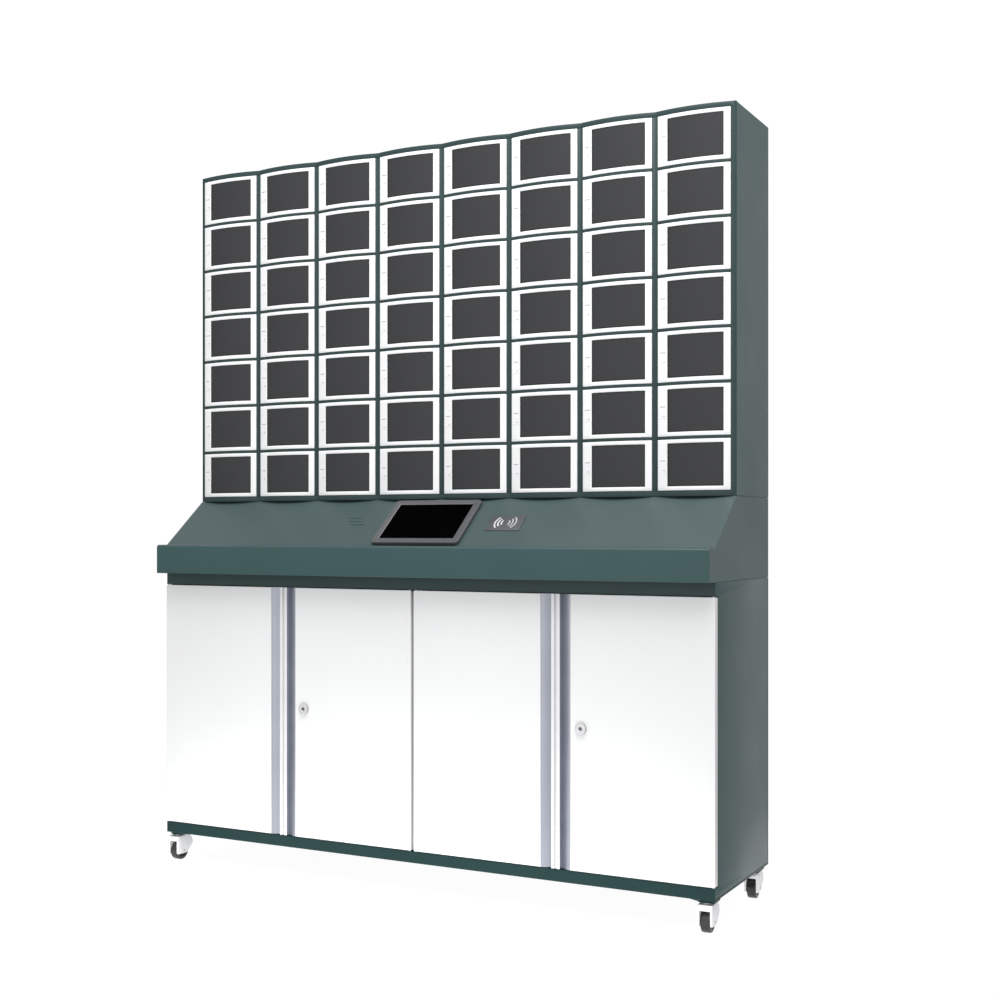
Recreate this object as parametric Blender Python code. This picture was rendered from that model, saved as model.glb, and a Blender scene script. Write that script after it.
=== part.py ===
"""Free-standing phone charging kiosk: a grid of charging cells with bowed doors, a sloped console
with a touch screen, and a two-door-pair storage base on casters.

Metres, +Z up, +X to the right of someone facing the kiosk, front towards -Y. The origin is on the
floor below the middle of the kiosk's box.
"""
import math

import bmesh
import bpy
from mathutils import Vector

# Overall size
WIDTH = 1.600
HEIGHT = 1.934
DEPTH = 0.449
HALF = WIDTH / 2
BACK = DEPTH / 2
LIP_FRONT = -DEPTH / 2
UPPER_FRONT = BACK - 0.2572
BASE_FRONT = BACK - 0.4062

# Sheet metal and fits
SHEET = 0.0015
FIT = 0.0004
BACK_RECESS = 0.0035
SIDE_INNER = HALF - SHEET - FIT
PANEL_BACK = BACK - BACK_RECESS
OVERSHOOT = 0.05

# Upper cabinet: columns and rows of cells
COLUMNS = 8
ROWS = 7
UPPER_LOW = 1.0016
DOOR_WIDTH = 0.1831
DOOR_HEIGHT = 0.1224
COLUMN_GAP = 0.0156
ROW_GAP = 0.0080
BOTTOM_FRAME = 0.0141
DOOR_CLEAR = 0.0015
COLUMN_PITCH = DOOR_WIDTH + COLUMN_GAP
ROW_PITCH = DOOR_HEIGHT + ROW_GAP
STILE = (WIDTH - COLUMNS * DOOR_WIDTH - (COLUMNS - 1) * COLUMN_GAP) / 2
BOW = 0.012
BOW_RADIUS = (COLUMN_PITCH ** 2 / 4 + BOW ** 2) / (2 * BOW)
BOW_STEPS = 4
CELL_BACK = BACK - 0.045
LAP_DEPTH = (UPPER_FRONT + CELL_BACK) / 2
MOUTH_HALF = HALF - STILE + DOOR_CLEAR
MOUTH_LOW = UPPER_LOW + BOTTOM_FRAME - DOOR_CLEAR
MOUTH_HIGH = UPPER_LOW + BOTTOM_FRAME + ROWS * ROW_PITCH - ROW_GAP + DOOR_CLEAR
DIVIDER_FLANGE = COLUMN_GAP - 2 * DOOR_CLEAR

# Cell doors
DOOR_THICK = 0.004
DOOR_PROUD = 0.001
WINDOW_LEFT = 0.0263
WINDOW_WIDTH = 0.1406
WINDOW_BOTTOM = 0.0098
WINDOW_HEIGHT = 0.1034
WINDOW_SINK = 0.0006
PIN_INSET = 0.0025
PIN_RADIUS = 0.0015
PIN_REACH = 0.0034
PIN_ROOM = 0.0008
PIN_SIDES = 8

# Sockets in the charging panel
SOCKET_WIDTH = 0.026
SOCKET_HEIGHT = 0.014
SOCKET_DEPTH = 0.0015

# Rear vents
VENT_LENGTH = 0.150
VENT_HEIGHT = 0.006
VENT_PITCH = 0.016
VENT_ROWS = 5

# Console
CONSOLE_LOW = 0.8016
CONSOLE_HIGH = 1.0012
LEDGE_HIGH = 0.8800
LEDGE_BACK = UPPER_FRONT - 0.1500
LIP_ROUND = 0.004
SLOPE = math.atan2(CONSOLE_HIGH - LEDGE_HIGH, UPPER_FRONT - LEDGE_BACK)

# Screen, card reader and speaker, placed by x and by the distance down the slope
SCREEN_X = 0.0015
SCREEN_DOWN = 0.1018
SCREEN_SIZE = (0.2575, 0.1755)
SCREEN_HIGH = 0.009
SCREEN_ROUND = 0.012
GLASS_X = 0.0015
GLASS_DOWN = 0.1020
GLASS_SIZE = (0.218, 0.138)
GLASS_THICK = 0.003
CARD_X = 0.2283
CARD_DOWN = 0.1003
CARD_SIZE = (0.097, 0.0626)
CARD_HIGH = 0.004
CARD_ROUND = 0.006
SPEAKER_X = -0.2200
SPEAKER_DOWN = 0.0930
SPEAKER_SLOT = (0.042, 0.003)
SPEAKER_PITCH = 0.014
SPEAKER_STAGGER = 0.008

# Power supply inside the console
SUPPLY_LOW = (-0.3000, 0.0500, 0.8030)
SUPPLY_SIZE = (0.215, 0.115, 0.050)

# Base
BASE_HIGH = 0.8012
PLINTH_LOW = 0.0790
PLINTH_HIGH = 0.1080
BAND_LOW = 0.7700
BASE_DOOR_LOW = 0.1100
BASE_DOOR_HIGH = 0.7680
BASE_DOOR_FRONT = BASE_FRONT - 0.0023
BASE_DOOR_THICK = 0.0180
CARCASS_FRONT = BASE_DOOR_FRONT + BASE_DOOR_THICK + 0.0020
MEETING = HALF / 2
MEETING_GAP = 0.0057
CENTRE_GAP = 0.0078
BASE_PIVOT_INSET = 0.005
RETURN_FLANGE = 0.014
CENTRE_FLANGE = 0.024

# Handle profile section, measured from the meeting edge and from the door's front
PROFILE_WIDTH = 0.0366
PROFILE_LIP = 0.0086
SCOOP_DEPTH = 0.0120
SCOOP_RIM = 0.0008
SCOOP_SAG = 0.0045
SCOOP_STEPS = 6
TONGUE_REACH = 0.0050
TONGUE_FRONT = 0.0030
TONGUE_THICK = 0.0025

# Cam lock
LOCK_FROM_EDGE = 0.0649
LOCK_HIGH = 0.4495
LOCK_HEAD_RADIUS = 0.0140
LOCK_HEAD = 0.0060
LOCK_SHANK_RADIUS = 0.0096
LOCK_HOLE_RADIUS = 0.0102
LOCK_SIDES = 24
CAM_SIZE = (0.016, 0.0025, 0.078)
CAM_BEHIND = 0.0006
KEY_SLOT = (0.009, 0.002, 0.0022)

# Casters
CASTER_X = HALF - 0.028
CASTER_X_FRONT_LEFT = -HALF + 0.022
CASTER_FRONT_Y = BASE_FRONT + 0.0347
CASTER_REAR_Y = BACK - 0.030
CASTER_PAD_TOP = 0.054
CASTER_PAD_FOOT = 0.036
CASTER_PAD_LOW = 0.0700
CASTER_BLOCK = 0.052
CASTER_TRAIL = 0.008
CASTER_TURNS = {"front_left": 178, "front_right": 183, "rear_left": 176, "rear_right": 184}
CROWN_RADIUS = 0.019
CROWN_THICK = 0.004
WHEEL_RADIUS = 0.0250
WHEEL_WIDTH = 0.0230
WHEEL_BORE = 0.0036
HUB_SINK = 0.0020
AXLE_RADIUS = 0.0030
CHEEK_THICK = 0.0028
CHEEK_GAP = 0.0280
CHEEK_LEAD = -0.028
CHEEK_TRAIL = 0.034
CHEEK_LOW = 0.0180
ROUND_SIDES = 20

# Mains inlet
INLET_X = 0.560
INLET_Z = 0.190
INLET_FLANGE = (0.050, 0.0020, 0.028)
INLET_BODY = (0.030, 0.024, 0.022)
INLET_RECESS = (0.024, 0.016, 0.016)
INLET_PIN = (0.004, 0.012, 0.002)


def clear_scene():
    for item in list(bpy.data.objects):
        bpy.data.objects.remove(item)


def material(name, colour, roughness, metallic=0.0):
    result = bpy.data.materials.new(name)
    result.use_nodes = True
    shader = result.node_tree.nodes["Principled BSDF"]
    shader.inputs["Base Color"].default_value = (*colour, 1.0)
    shader.inputs["Roughness"].default_value = roughness
    shader.inputs["Metallic"].default_value = metallic
    return result


# ---------------------------------------------------------------- shapes

def place(u, v, w, axis):
    """A point with u and v across the extrusion and w along it."""
    return {"x": (w, u, v), "y": (u, w, v), "z": (u, v, w)}[axis]


def add_prism(shape, outline, low, high, axis):
    """Extrude a closed outline from low to high along an axis."""
    lows = [shape.verts.new(place(u, v, low, axis)) for u, v in outline]
    highs = [shape.verts.new(place(u, v, high, axis)) for u, v in outline]
    shape.faces.new(lows)
    shape.faces.new(highs)
    for index in range(len(outline)):
        after = (index + 1) % len(outline)
        shape.faces.new((lows[index], lows[after], highs[after], highs[index]))


def add_box(shape, low, high):
    outline = [(low[0], low[1]), (high[0], low[1]), (high[0], high[1]), (low[0], high[1])]
    add_prism(shape, outline, low[2], high[2], "z")


def finish(name, shape, finish_material, smooth=False):
    bmesh.ops.recalc_face_normals(shape, faces=shape.faces)
    mesh = bpy.data.meshes.new(name)
    shape.to_mesh(mesh)
    shape.free()
    item = bpy.data.objects.new(name, mesh)
    bpy.context.scene.collection.objects.link(item)
    if finish_material:
        mesh.materials.append(finish_material)
    if smooth:
        mesh.shade_smooth()
        mesh.set_sharp_from_angle(angle=math.radians(35))
    return item


def prism(name, outline, low, high, axis, finish_material=None, smooth=False):
    shape = bmesh.new()
    add_prism(shape, outline, low, high, axis)
    return finish(name, shape, finish_material, smooth)


def boxes(name, corners, finish_material=None):
    """One object from a list of (low corner, high corner) boxes that don't touch."""
    shape = bmesh.new()
    for low, high in corners:
        add_box(shape, low, high)
    return finish(name, shape, finish_material)


def circle(radius, sides, centre=(0.0, 0.0), turn=0.0):
    steps = [turn + 2 * math.pi * index / sides for index in range(sides)]
    return [(centre[0] + radius * math.cos(a), centre[1] + radius * math.sin(a)) for a in steps]


def turned(name, profile, sides, axis, finish_material=None):
    """Revolve (radius, distance) points about an axis; a radius of 0 closes an end."""
    shape = bmesh.new()
    rings = []
    for radius, along in profile:
        if radius == 0:
            rings.append([shape.verts.new(place(0, 0, along, axis))])
        else:
            rings.append([shape.verts.new(place(u, v, along, axis)) for u, v in circle(radius, sides)])
    closed = profile[0][0] != 0
    pairs = list(zip(rings, rings[1:]))
    if closed:
        pairs.append((rings[-1], rings[0]))
    for first, second in pairs:
        for index in range(sides):
            after = (index + 1) % sides
            corners = [first[index % len(first)], first[after % len(first)]]
            corners += [second[after % len(second)], second[index % len(second)]]
            shape.faces.new(list(dict.fromkeys(corners)))
    return finish(name, shape, finish_material, smooth=True)


def rounded(width, height, radius, steps=4):
    """A rectangle about the origin with rounded corners, anticlockwise."""
    points = []
    centres = [(1, 1), (-1, 1), (-1, -1), (1, -1)]
    for quarter, (sx, sy) in enumerate(centres):
        for step in range(steps + 1):
            angle = math.pi / 2 * (quarter + step / steps)
            x = sx * (width / 2 - radius) + radius * math.cos(angle)
            y = sy * (height / 2 - radius) + radius * math.sin(angle)
            points.append((x, y))
    return points


def inset(outline, distance):
    """Move each edge of an anticlockwise outline inwards by a distance."""
    points = []
    count = len(outline)
    for index in range(count):
        before = Vector(outline[index - 1])
        here = Vector(outline[index])
        after = Vector(outline[(index + 1) % count])
        first = (here - before).normalized()
        second = (after - here).normalized()
        first_normal = Vector((-first.y, first.x))
        second_normal = Vector((-second.y, second.x))
        shift = (first_normal + second_normal) / (1 + first_normal.dot(second_normal))
        points.append(tuple(here + shift * distance))
    return points


def hide_helper(item):
    item.hide_render = True
    item.display_type = "WIRE"


def combine(target, other, operation):
    modifier = target.modifiers.new(operation.lower(), "BOOLEAN")
    modifier.operation = operation
    modifier.solver = "EXACT"
    modifier.object = other
    hide_helper(other)


def cut(target, cutter):
    combine(target, cutter, "DIFFERENCE")


def join(target, other):
    combine(target, other, "UNION")


def put_origin(item, point):
    """Move an object's origin to a point in the world, leaving its shape where it is."""
    offset = Vector(point) - item.location
    for vertex in item.data.vertices:
        vertex.co -= offset
    item.location = point


# ---------------------------------------------------------------- upper cabinet layout

def column_middle(column):
    return -HALF + STILE + DOOR_WIDTH / 2 + column * COLUMN_PITCH


def divider_x(index):
    """Middle of the divider between columns index and index + 1."""
    return column_middle(index) + COLUMN_PITCH / 2


def door_low(row):
    """Bottom of the doors in a row; row 0 is the top one."""
    return UPPER_LOW + BOTTOM_FRAME + (ROWS - 1 - row) * ROW_PITCH


def bow_at(x):
    """How far the front bulges forward at x."""
    column = round((x - column_middle(0)) / COLUMN_PITCH)
    column = min(max(column, 0), COLUMNS - 1)
    across = abs(x - column_middle(column))
    if across >= COLUMN_PITCH / 2:
        return 0.0
    return math.sqrt(BOW_RADIUS ** 2 - across ** 2) - (BOW_RADIUS - BOW)


def front_line(x_low, x_high, setback):
    """Points along the bowed front from x_low to x_high, set back by a distance."""
    xs = [x_low]
    for column in range(COLUMNS):
        for step in range(BOW_STEPS + 1):
            x = column_middle(column) + COLUMN_PITCH * (step / BOW_STEPS - 0.5)
            if xs[-1] + 1e-6 < x < x_high - 1e-6:
                xs.append(x)
    xs.append(x_high)
    return [(x, UPPER_FRONT - bow_at(x) + setback) for x in xs]


def bowed_slab(x_low, x_high, front_setback, back_setback):
    front = front_line(x_low, x_high, front_setback)
    back = front_line(x_low, x_high, back_setback)
    return front + back[::-1]


def pin_point(column):
    """The hinge axis of a column's doors, near their right front edge."""
    x = column_middle(column) + DOOR_WIDTH / 2 - PIN_INSET
    return x, UPPER_FRONT - bow_at(x) - DOOR_PROUD + DOOR_THICK / 2


# ---------------------------------------------------------------- upper cabinet

def make_pin_room(name, low, high):
    """Cutter for the room around each column's hinge pin at the front edge of the frame."""
    corners = []
    for column in range(COLUMNS):
        x, y = pin_point(column)
        reach = PIN_RADIUS + PIN_ROOM
        corners.append(((x - reach, UPPER_FRONT - OVERSHOOT, low), (x + reach, y + reach, high)))
    return boxes(name, corners)


def make_upper_shell(paint):
    outline = front_line(-HALF, HALF, 0.0) + [(HALF, BACK), (-HALF, BACK)]
    shell = prism("upper_shell", outline, UPPER_LOW, HEIGHT, "z", paint)
    inner_half = HALF - SHEET
    hollow = front_line(-inner_half, inner_half, SHEET)
    hollow += [(inner_half, BACK + OVERSHOOT), (-inner_half, BACK + OVERSHOOT)]
    cut(shell, prism("upper_hollow", hollow, UPPER_LOW + SHEET, HEIGHT - SHEET, "z"))
    mouth_front = UPPER_FRONT - OVERSHOOT
    mouth_back = UPPER_FRONT + SHEET + 0.004
    mouth = [((-MOUTH_HALF, mouth_front, MOUTH_LOW), (MOUTH_HALF, mouth_back, MOUTH_HIGH))]
    cut(shell, boxes("upper_mouth", mouth))
    reach = DOOR_CLEAR + PIN_REACH + PIN_ROOM
    cut(shell, make_pin_room("pin_room_high", MOUTH_HIGH - 0.001, MOUTH_HIGH + reach))
    cut(shell, make_pin_room("pin_room_low", MOUTH_LOW - reach, MOUTH_LOW + 0.001))


def make_upper_back(paint):
    low = UPPER_LOW + SHEET + FIT
    high = HEIGHT - SHEET - FIT
    corners = [((-SIDE_INNER, PANEL_BACK - SHEET, low), (SIDE_INNER, PANEL_BACK, high))]
    panel = boxes("upper_back", corners, paint)
    cut(panel, make_vents("upper_vents", (-0.4, 0.4), high - 0.12))


def make_vents(name, middles, high):
    """Cutter for groups of horizontal vent slots through a rear panel."""
    corners = []
    for middle in middles:
        for row in range(VENT_ROWS):
            z = high - row * VENT_PITCH
            low = (middle - VENT_LENGTH / 2, PANEL_BACK - OVERSHOOT / 2, z - VENT_HEIGHT)
            corners.append((low, (middle + VENT_LENGTH / 2, PANEL_BACK + OVERSHOOT, z)))
    return boxes(name, corners)


def make_charging_panel(paint):
    low = UPPER_LOW + SHEET + FIT
    high = HEIGHT - SHEET - FIT
    plate = [((-SIDE_INNER, CELL_BACK, low), (SIDE_INNER, CELL_BACK + SHEET, high))]
    panel = boxes("charging_panel", plate, paint)
    corners = []
    for column in range(COLUMNS):
        for row in range(ROWS):
            x = column_middle(column)
            z = door_low(row) + DOOR_HEIGHT / 2
            start = (x - SOCKET_WIDTH / 2, CELL_BACK - SOCKET_DEPTH, z - SOCKET_HEIGHT / 2)
            end = (x + SOCKET_WIDTH / 2, CELL_BACK + SHEET / 2, z + SOCKET_HEIGHT / 2)
            corners.append((start, end))
    join(panel, boxes("sockets", corners))


def make_divider_slots():
    """Cutter for the slots in a shelf that the dividers drop into from the front."""
    shape = bmesh.new()
    wide = DIVIDER_FLANGE / 2 + FIT
    narrow = SHEET / 2 + FIT
    flange_back = UPPER_FRONT + SHEET + FIT
    for index in range(COLUMNS - 1):
        x = divider_x(index)
        outline = [(x - wide, UPPER_FRONT - OVERSHOOT), (x + wide, UPPER_FRONT - OVERSHOOT)]
        outline += [(x + wide, flange_back), (x + narrow, flange_back), (x + narrow, LAP_DEPTH + FIT)]
        outline += [(x - narrow, LAP_DEPTH + FIT), (x - narrow, flange_back), (x - wide, flange_back)]
        add_prism(shape, outline, UPPER_LOW, HEIGHT, "z")
    return finish("divider_slots", shape, None)


def make_shelves(paint):
    slots = make_divider_slots()
    pin_room = make_pin_room("pin_room_shelves", UPPER_LOW, HEIGHT)
    hem_half = MOUTH_HALF - FIT
    ends = UPPER_FRONT + SHEET + FIT
    rear = CELL_BACK - FIT
    outline = [(-SIDE_INNER, rear), (-SIDE_INNER, ends), (-hem_half, ends)]
    outline += front_line(-hem_half, hem_half, 0.0)
    outline += [(hem_half, ends), (SIDE_INNER, ends), (SIDE_INNER, rear)]
    under = [(-HALF - OVERSHOOT, rear + OVERSHOOT), (-HALF - OVERSHOOT, UPPER_FRONT + SHEET)]
    under += front_line(-hem_half + SHEET, hem_half - SHEET, SHEET)
    under += [(HALF + OVERSHOOT, UPPER_FRONT + SHEET), (HALF + OVERSHOOT, rear + OVERSHOOT)]
    for row in range(ROWS - 1):
        high = door_low(row) - DOOR_CLEAR
        low = door_low(row + 1) + DOOR_HEIGHT + DOOR_CLEAR
        shelf = prism(f"cell_shelf_{row + 1}", outline, low, high, "z", paint)
        cut(shelf, prism(f"shelf_under_{row + 1}", under, low - OVERSHOOT / 10, high - SHEET, "z"))
        cut(shelf, slots)
        cut(shelf, pin_room)


def make_dividers(paint):
    low = UPPER_LOW + SHEET + FIT
    high = HEIGHT - SHEET - FIT
    flange_low = MOUTH_LOW + FIT
    flange_high = MOUTH_HIGH - FIT
    rear = CELL_BACK - FIT
    behind_frame = UPPER_FRONT + SHEET + FIT
    in_flange = UPPER_FRONT + SHEET / 2
    outline = [(behind_frame, low), (rear, low)]
    for row in reversed(range(ROWS - 1)):
        shelf_top = door_low(row) - DOOR_CLEAR
        slot_low = shelf_top - SHEET - FIT
        slot_high = shelf_top + FIT
        outline += [(rear, slot_low), (LAP_DEPTH - FIT, slot_low)]
        outline += [(LAP_DEPTH - FIT, slot_high), (rear, slot_high)]
    outline += [(rear, high), (behind_frame, high), (behind_frame, flange_high - 0.001)]
    outline += [(in_flange, flange_high - 0.001), (in_flange, flange_low + 0.001)]
    outline += [(behind_frame, flange_low + 0.001)]
    for index in range(COLUMNS - 1):
        x = divider_x(index)
        divider = prism(f"cell_divider_{index + 1}", outline, x - SHEET / 2, x + SHEET / 2, "x", paint)
        start = (x - DIVIDER_FLANGE / 2, UPPER_FRONT, flange_low)
        end = (x + DIVIDER_FLANGE / 2, UPPER_FRONT + SHEET, flange_high)
        join(divider, boxes(f"divider_flange_{index + 1}", [(start, end)]))


def make_cell_doors(name, column, rows, plastic):
    """One object holding the doors of the given rows of a column, joined by their hinge pin."""
    left = column_middle(column) - DOOR_WIDTH / 2
    slab = bowed_slab(left, left + DOOR_WIDTH, -DOOR_PROUD, -DOOR_PROUD + DOOR_THICK)
    window_left = left + WINDOW_LEFT
    sunk = -DOOR_PROUD + WINDOW_SINK
    window = bowed_slab(window_left, window_left + WINDOW_WIDTH, sunk - OVERSHOOT, sunk)
    doors = bmesh.new()
    windows = bmesh.new()
    for row in rows:
        low = door_low(row)
        add_prism(doors, slab, low, low + DOOR_HEIGHT, "z")
        sill = low + WINDOW_BOTTOM
        add_prism(windows, window, sill, sill + WINDOW_HEIGHT, "z")
    item = finish(name, doors, plastic, smooth=True)
    pin_low = door_low(rows[-1]) - PIN_REACH
    pin_high = door_low(rows[0]) + DOOR_HEIGHT + PIN_REACH
    axis = pin_point(column)
    section = circle(PIN_RADIUS, PIN_SIDES, axis, math.pi / PIN_SIDES)
    join(item, prism(f"{name}_pin", section, pin_low, pin_high, "z"))
    cut(item, finish(f"{name}_windows", windows, None))
    put_origin(item, (*axis, door_low(rows[-1])))


def make_doors(plastic):
    """Columns 1 to 7 open as one bank each; the doors of the last column open one by one."""
    for column in range(COLUMNS - 1):
        make_cell_doors(f"door_bank_{column + 1}", column, list(range(ROWS)), plastic)
    for row in range(ROWS):
        make_cell_doors(f"cell_door_{row + 1}", COLUMNS - 1, [row], plastic)


# ---------------------------------------------------------------- console

def console_section():
    """The console's side view as (y, z) points, anticlockwise seen from +X."""
    points = [(BACK, CONSOLE_LOW), (BACK, CONSOLE_HIGH), (UPPER_FRONT, CONSOLE_HIGH)]
    points += [(LEDGE_BACK, LEDGE_HIGH)]
    steps = 3
    for centre_z, start in ((LEDGE_HIGH - LIP_ROUND, 90), (CONSOLE_LOW + LIP_ROUND, 180)):
        for step in range(steps + 1):
            angle = math.radians(start + 90 * step / steps)
            y = LIP_FRONT + LIP_ROUND + LIP_ROUND * math.cos(angle)
            points.append((y, centre_z + LIP_ROUND * math.sin(angle)))
    return points


def on_slope(x, down, lift=0.0):
    """A point on the console's slope, measured down from its top edge."""
    y = UPPER_FRONT - down * math.cos(SLOPE) - lift * math.sin(SLOPE)
    z = CONSOLE_HIGH - down * math.sin(SLOPE) + lift * math.cos(SLOPE)
    return (x, y, z)


def lay_on_slope(item, x, down, lift):
    item.location = on_slope(x, down, lift)
    item.rotation_euler = (SLOPE, 0, 0)


def make_console(paint):
    section = console_section()
    console = prism("console_shell", section, -HALF, HALF, "x", paint)
    hollow = inset(section, SHEET)
    cut(console, prism("console_hollow", hollow, -HALF + SHEET, HALF - SHEET, "x"))
    opening_low = (-HALF + 0.06, BASE_FRONT + 0.03, CONSOLE_LOW - 0.01)
    opening_high = (HALF - 0.06, BACK - 0.03, CONSOLE_LOW + SHEET + 0.002)
    cut(console, boxes("console_opening", [(opening_low, opening_high)]))
    corners = []
    for row in (-1, 0, 1):
        x = -row * SPEAKER_STAGGER
        y = row * SPEAKER_PITCH
        low = (x - SPEAKER_SLOT[0] / 2, y - SPEAKER_SLOT[1] / 2, -0.01)
        corners.append((low, (x + SPEAKER_SLOT[0] / 2, y + SPEAKER_SLOT[1] / 2, 0.01)))
    speaker = boxes("speaker_slots", corners)
    lay_on_slope(speaker, SPEAKER_X, SPEAKER_DOWN, 0.0)
    cut(console, speaker)


def make_screen(casing, glass):
    outline = rounded(*SCREEN_SIZE, SCREEN_ROUND)
    housing = prism("screen_housing", outline, 0, SCREEN_HIGH, "z", casing, True)
    lay_on_slope(housing, SCREEN_X, SCREEN_DOWN, FIT)
    pocket_size = (GLASS_SIZE[0] + 2 * FIT, GLASS_SIZE[1] + 2 * FIT)
    pocket = prism("screen_pocket", rounded(*pocket_size, 0.002, 1), 0, 0.02, "z")
    lay_on_slope(pocket, GLASS_X, GLASS_DOWN, FIT + SCREEN_HIGH - GLASS_THICK - FIT)
    cut(housing, pocket)
    pane = prism("screen_glass", rounded(*GLASS_SIZE, 0.002, 1), 0, GLASS_THICK, "z", glass)
    lay_on_slope(pane, GLASS_X, GLASS_DOWN, FIT + SCREEN_HIGH - GLASS_THICK)


def make_card_reader(casing):
    reader = prism("card_reader", rounded(*CARD_SIZE, CARD_ROUND, 3), 0, CARD_HIGH, "z", casing, True)
    lay_on_slope(reader, CARD_X, CARD_DOWN, FIT)


def make_power_supply(metal):
    low = Vector(SUPPLY_LOW)
    high = low + Vector(SUPPLY_SIZE)
    supply = boxes("power_supply", [(low, high)], metal)
    step_low = (high.x - 0.018, low.y - OVERSHOOT / 10, low.z + 0.022)
    step_high = (high.x + OVERSHOOT / 10, high.y + OVERSHOOT / 10, high.z + OVERSHOOT / 10)
    cut(supply, boxes("supply_step", [(step_low, step_high)]))


# ---------------------------------------------------------------- base

def make_base_sides(paint):
    outline = [(BACK, PLINTH_LOW), (BACK, BASE_HIGH), (BASE_FRONT, BASE_HIGH), (BASE_FRONT, BAND_LOW)]
    outline += [(CARCASS_FRONT, BAND_LOW), (CARCASS_FRONT, PLINTH_HIGH)]
    outline += [(BASE_FRONT, PLINTH_HIGH), (BASE_FRONT, PLINTH_LOW)]
    prism("base_side_left", outline, -HALF, -HALF + SHEET, "x", paint)
    prism("base_side_right", outline, HALF - SHEET, HALF, "x", paint)


def caster_points():
    return {"front_left": (CASTER_X_FRONT_LEFT, CASTER_FRONT_Y), "front_right": (CASTER_X, CASTER_FRONT_Y),
            "rear_left": (-CASTER_X, CASTER_REAR_Y), "rear_right": (CASTER_X, CASTER_REAR_Y)}


def add_pad(shape, top_middle, foot_middle):
    """A caster pad that narrows from the floor pan down to the fork's crown."""
    levels = [(foot_middle, CASTER_PAD_FOOT, CASTER_PAD_LOW), (top_middle, CASTER_PAD_TOP, PLINTH_LOW)]
    rings = []
    for (x, y), size, z in levels:
        half = size / 2
        corners = [(x - half, y - half), (x + half, y - half), (x + half, y + half), (x - half, y + half)]
        rings.append([shape.verts.new((u, v, z)) for u, v in corners])
    low, high = rings
    shape.faces.new(low)
    shape.faces.new(high)
    for index in range(4):
        after = (index + 1) % 4
        shape.faces.new((low[index], low[after], high[after], high[index]))


def make_base_floor(paint):
    """The floor pan with its plinth skirts, and a block and a tapered pad for each caster."""
    rear = PANEL_BACK - SHEET - FIT
    outline = [(BASE_FRONT, PLINTH_LOW), (BASE_FRONT + SHEET, PLINTH_LOW)]
    outline += [(BASE_FRONT + SHEET, PLINTH_HIGH - SHEET), (rear - SHEET, PLINTH_HIGH - SHEET)]
    outline += [(rear - SHEET, PLINTH_LOW), (rear, PLINTH_LOW), (rear, PLINTH_HIGH)]
    outline += [(BASE_FRONT, PLINTH_HIGH)]
    floor = prism("base_floor", outline, -SIDE_INNER, SIDE_INNER, "x", paint)
    for place_name, (x, y) in caster_points().items():
        side_limit = SIDE_INNER - SHEET / 2
        middle_x = math.copysign(min(abs(x), side_limit - CASTER_PAD_TOP / 2), x)
        middle_y = min(max(y, BASE_FRONT + CASTER_PAD_TOP / 2), rear - CASTER_PAD_TOP / 2)
        low = (middle_x - CASTER_BLOCK / 2, middle_y - CASTER_BLOCK / 2, PLINTH_LOW - 0.0005)
        high = (middle_x + CASTER_BLOCK / 2, middle_y + CASTER_BLOCK / 2, PLINTH_HIGH - SHEET / 2)
        join(floor, boxes(f"caster_block_{place_name}", [(low, high)]))
        pad = bmesh.new()
        add_pad(pad, (middle_x, middle_y), (x, y))
        join(floor, finish(f"caster_pad_{place_name}", pad, None))


def make_base_top(paint):
    outline = [(BASE_FRONT, BAND_LOW), (BASE_FRONT + RETURN_FLANGE, BAND_LOW)]
    outline += [(BASE_FRONT + RETURN_FLANGE, BAND_LOW + SHEET), (BASE_FRONT + SHEET, BAND_LOW + SHEET)]
    outline += [(BASE_FRONT + SHEET, BASE_HIGH - SHEET), (PANEL_BACK - SHEET - FIT, BASE_HIGH - SHEET)]
    outline += [(PANEL_BACK - SHEET - FIT, BASE_HIGH), (BASE_FRONT, BASE_HIGH)]
    prism("base_top", outline, -SIDE_INNER, SIDE_INNER, "x", paint)


def make_base_back(paint):
    corner = (SIDE_INNER, PANEL_BACK, BASE_HIGH - FIT)
    panel = boxes("base_back", [((-SIDE_INNER, PANEL_BACK - SHEET, PLINTH_LOW), corner)], paint)
    half_x = INLET_BODY[0] / 2 + FIT
    half_z = INLET_BODY[2] / 2 + FIT
    low = (INLET_X - half_x, PANEL_BACK - OVERSHOOT, INLET_Z - half_z)
    cut(panel, boxes("inlet_hole", [(low, (INLET_X + half_x, BACK + OVERSHOOT, INLET_Z + half_z))]))
    cut(panel, make_vents("base_vents", (-0.4, 0.4), 0.70))


def make_base_divider(paint):
    low = PLINTH_HIGH + FIT
    high = BASE_HIGH - SHEET - FIT
    half = SHEET / 2
    flange = CENTRE_FLANGE / 2
    rear = PANEL_BACK - SHEET - FIT
    outline = [(-flange, CARCASS_FRONT), (flange, CARCASS_FRONT), (flange, CARCASS_FRONT + SHEET)]
    outline += [(half, CARCASS_FRONT + SHEET), (half, rear), (-half, rear)]
    outline += [(-half, CARCASS_FRONT + SHEET), (-flange, CARCASS_FRONT + SHEET)]
    prism("base_divider", outline, low, high, "z", paint)


def base_door_spans():
    """For each door: x of its hinged edge and of its meeting edge."""
    near = MEETING - MEETING_GAP / 2
    far = MEETING + MEETING_GAP / 2
    centre = CENTRE_GAP / 2
    return [(-HALF, -far), (-centre, -near), (centre, near), (HALF, far)]


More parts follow.
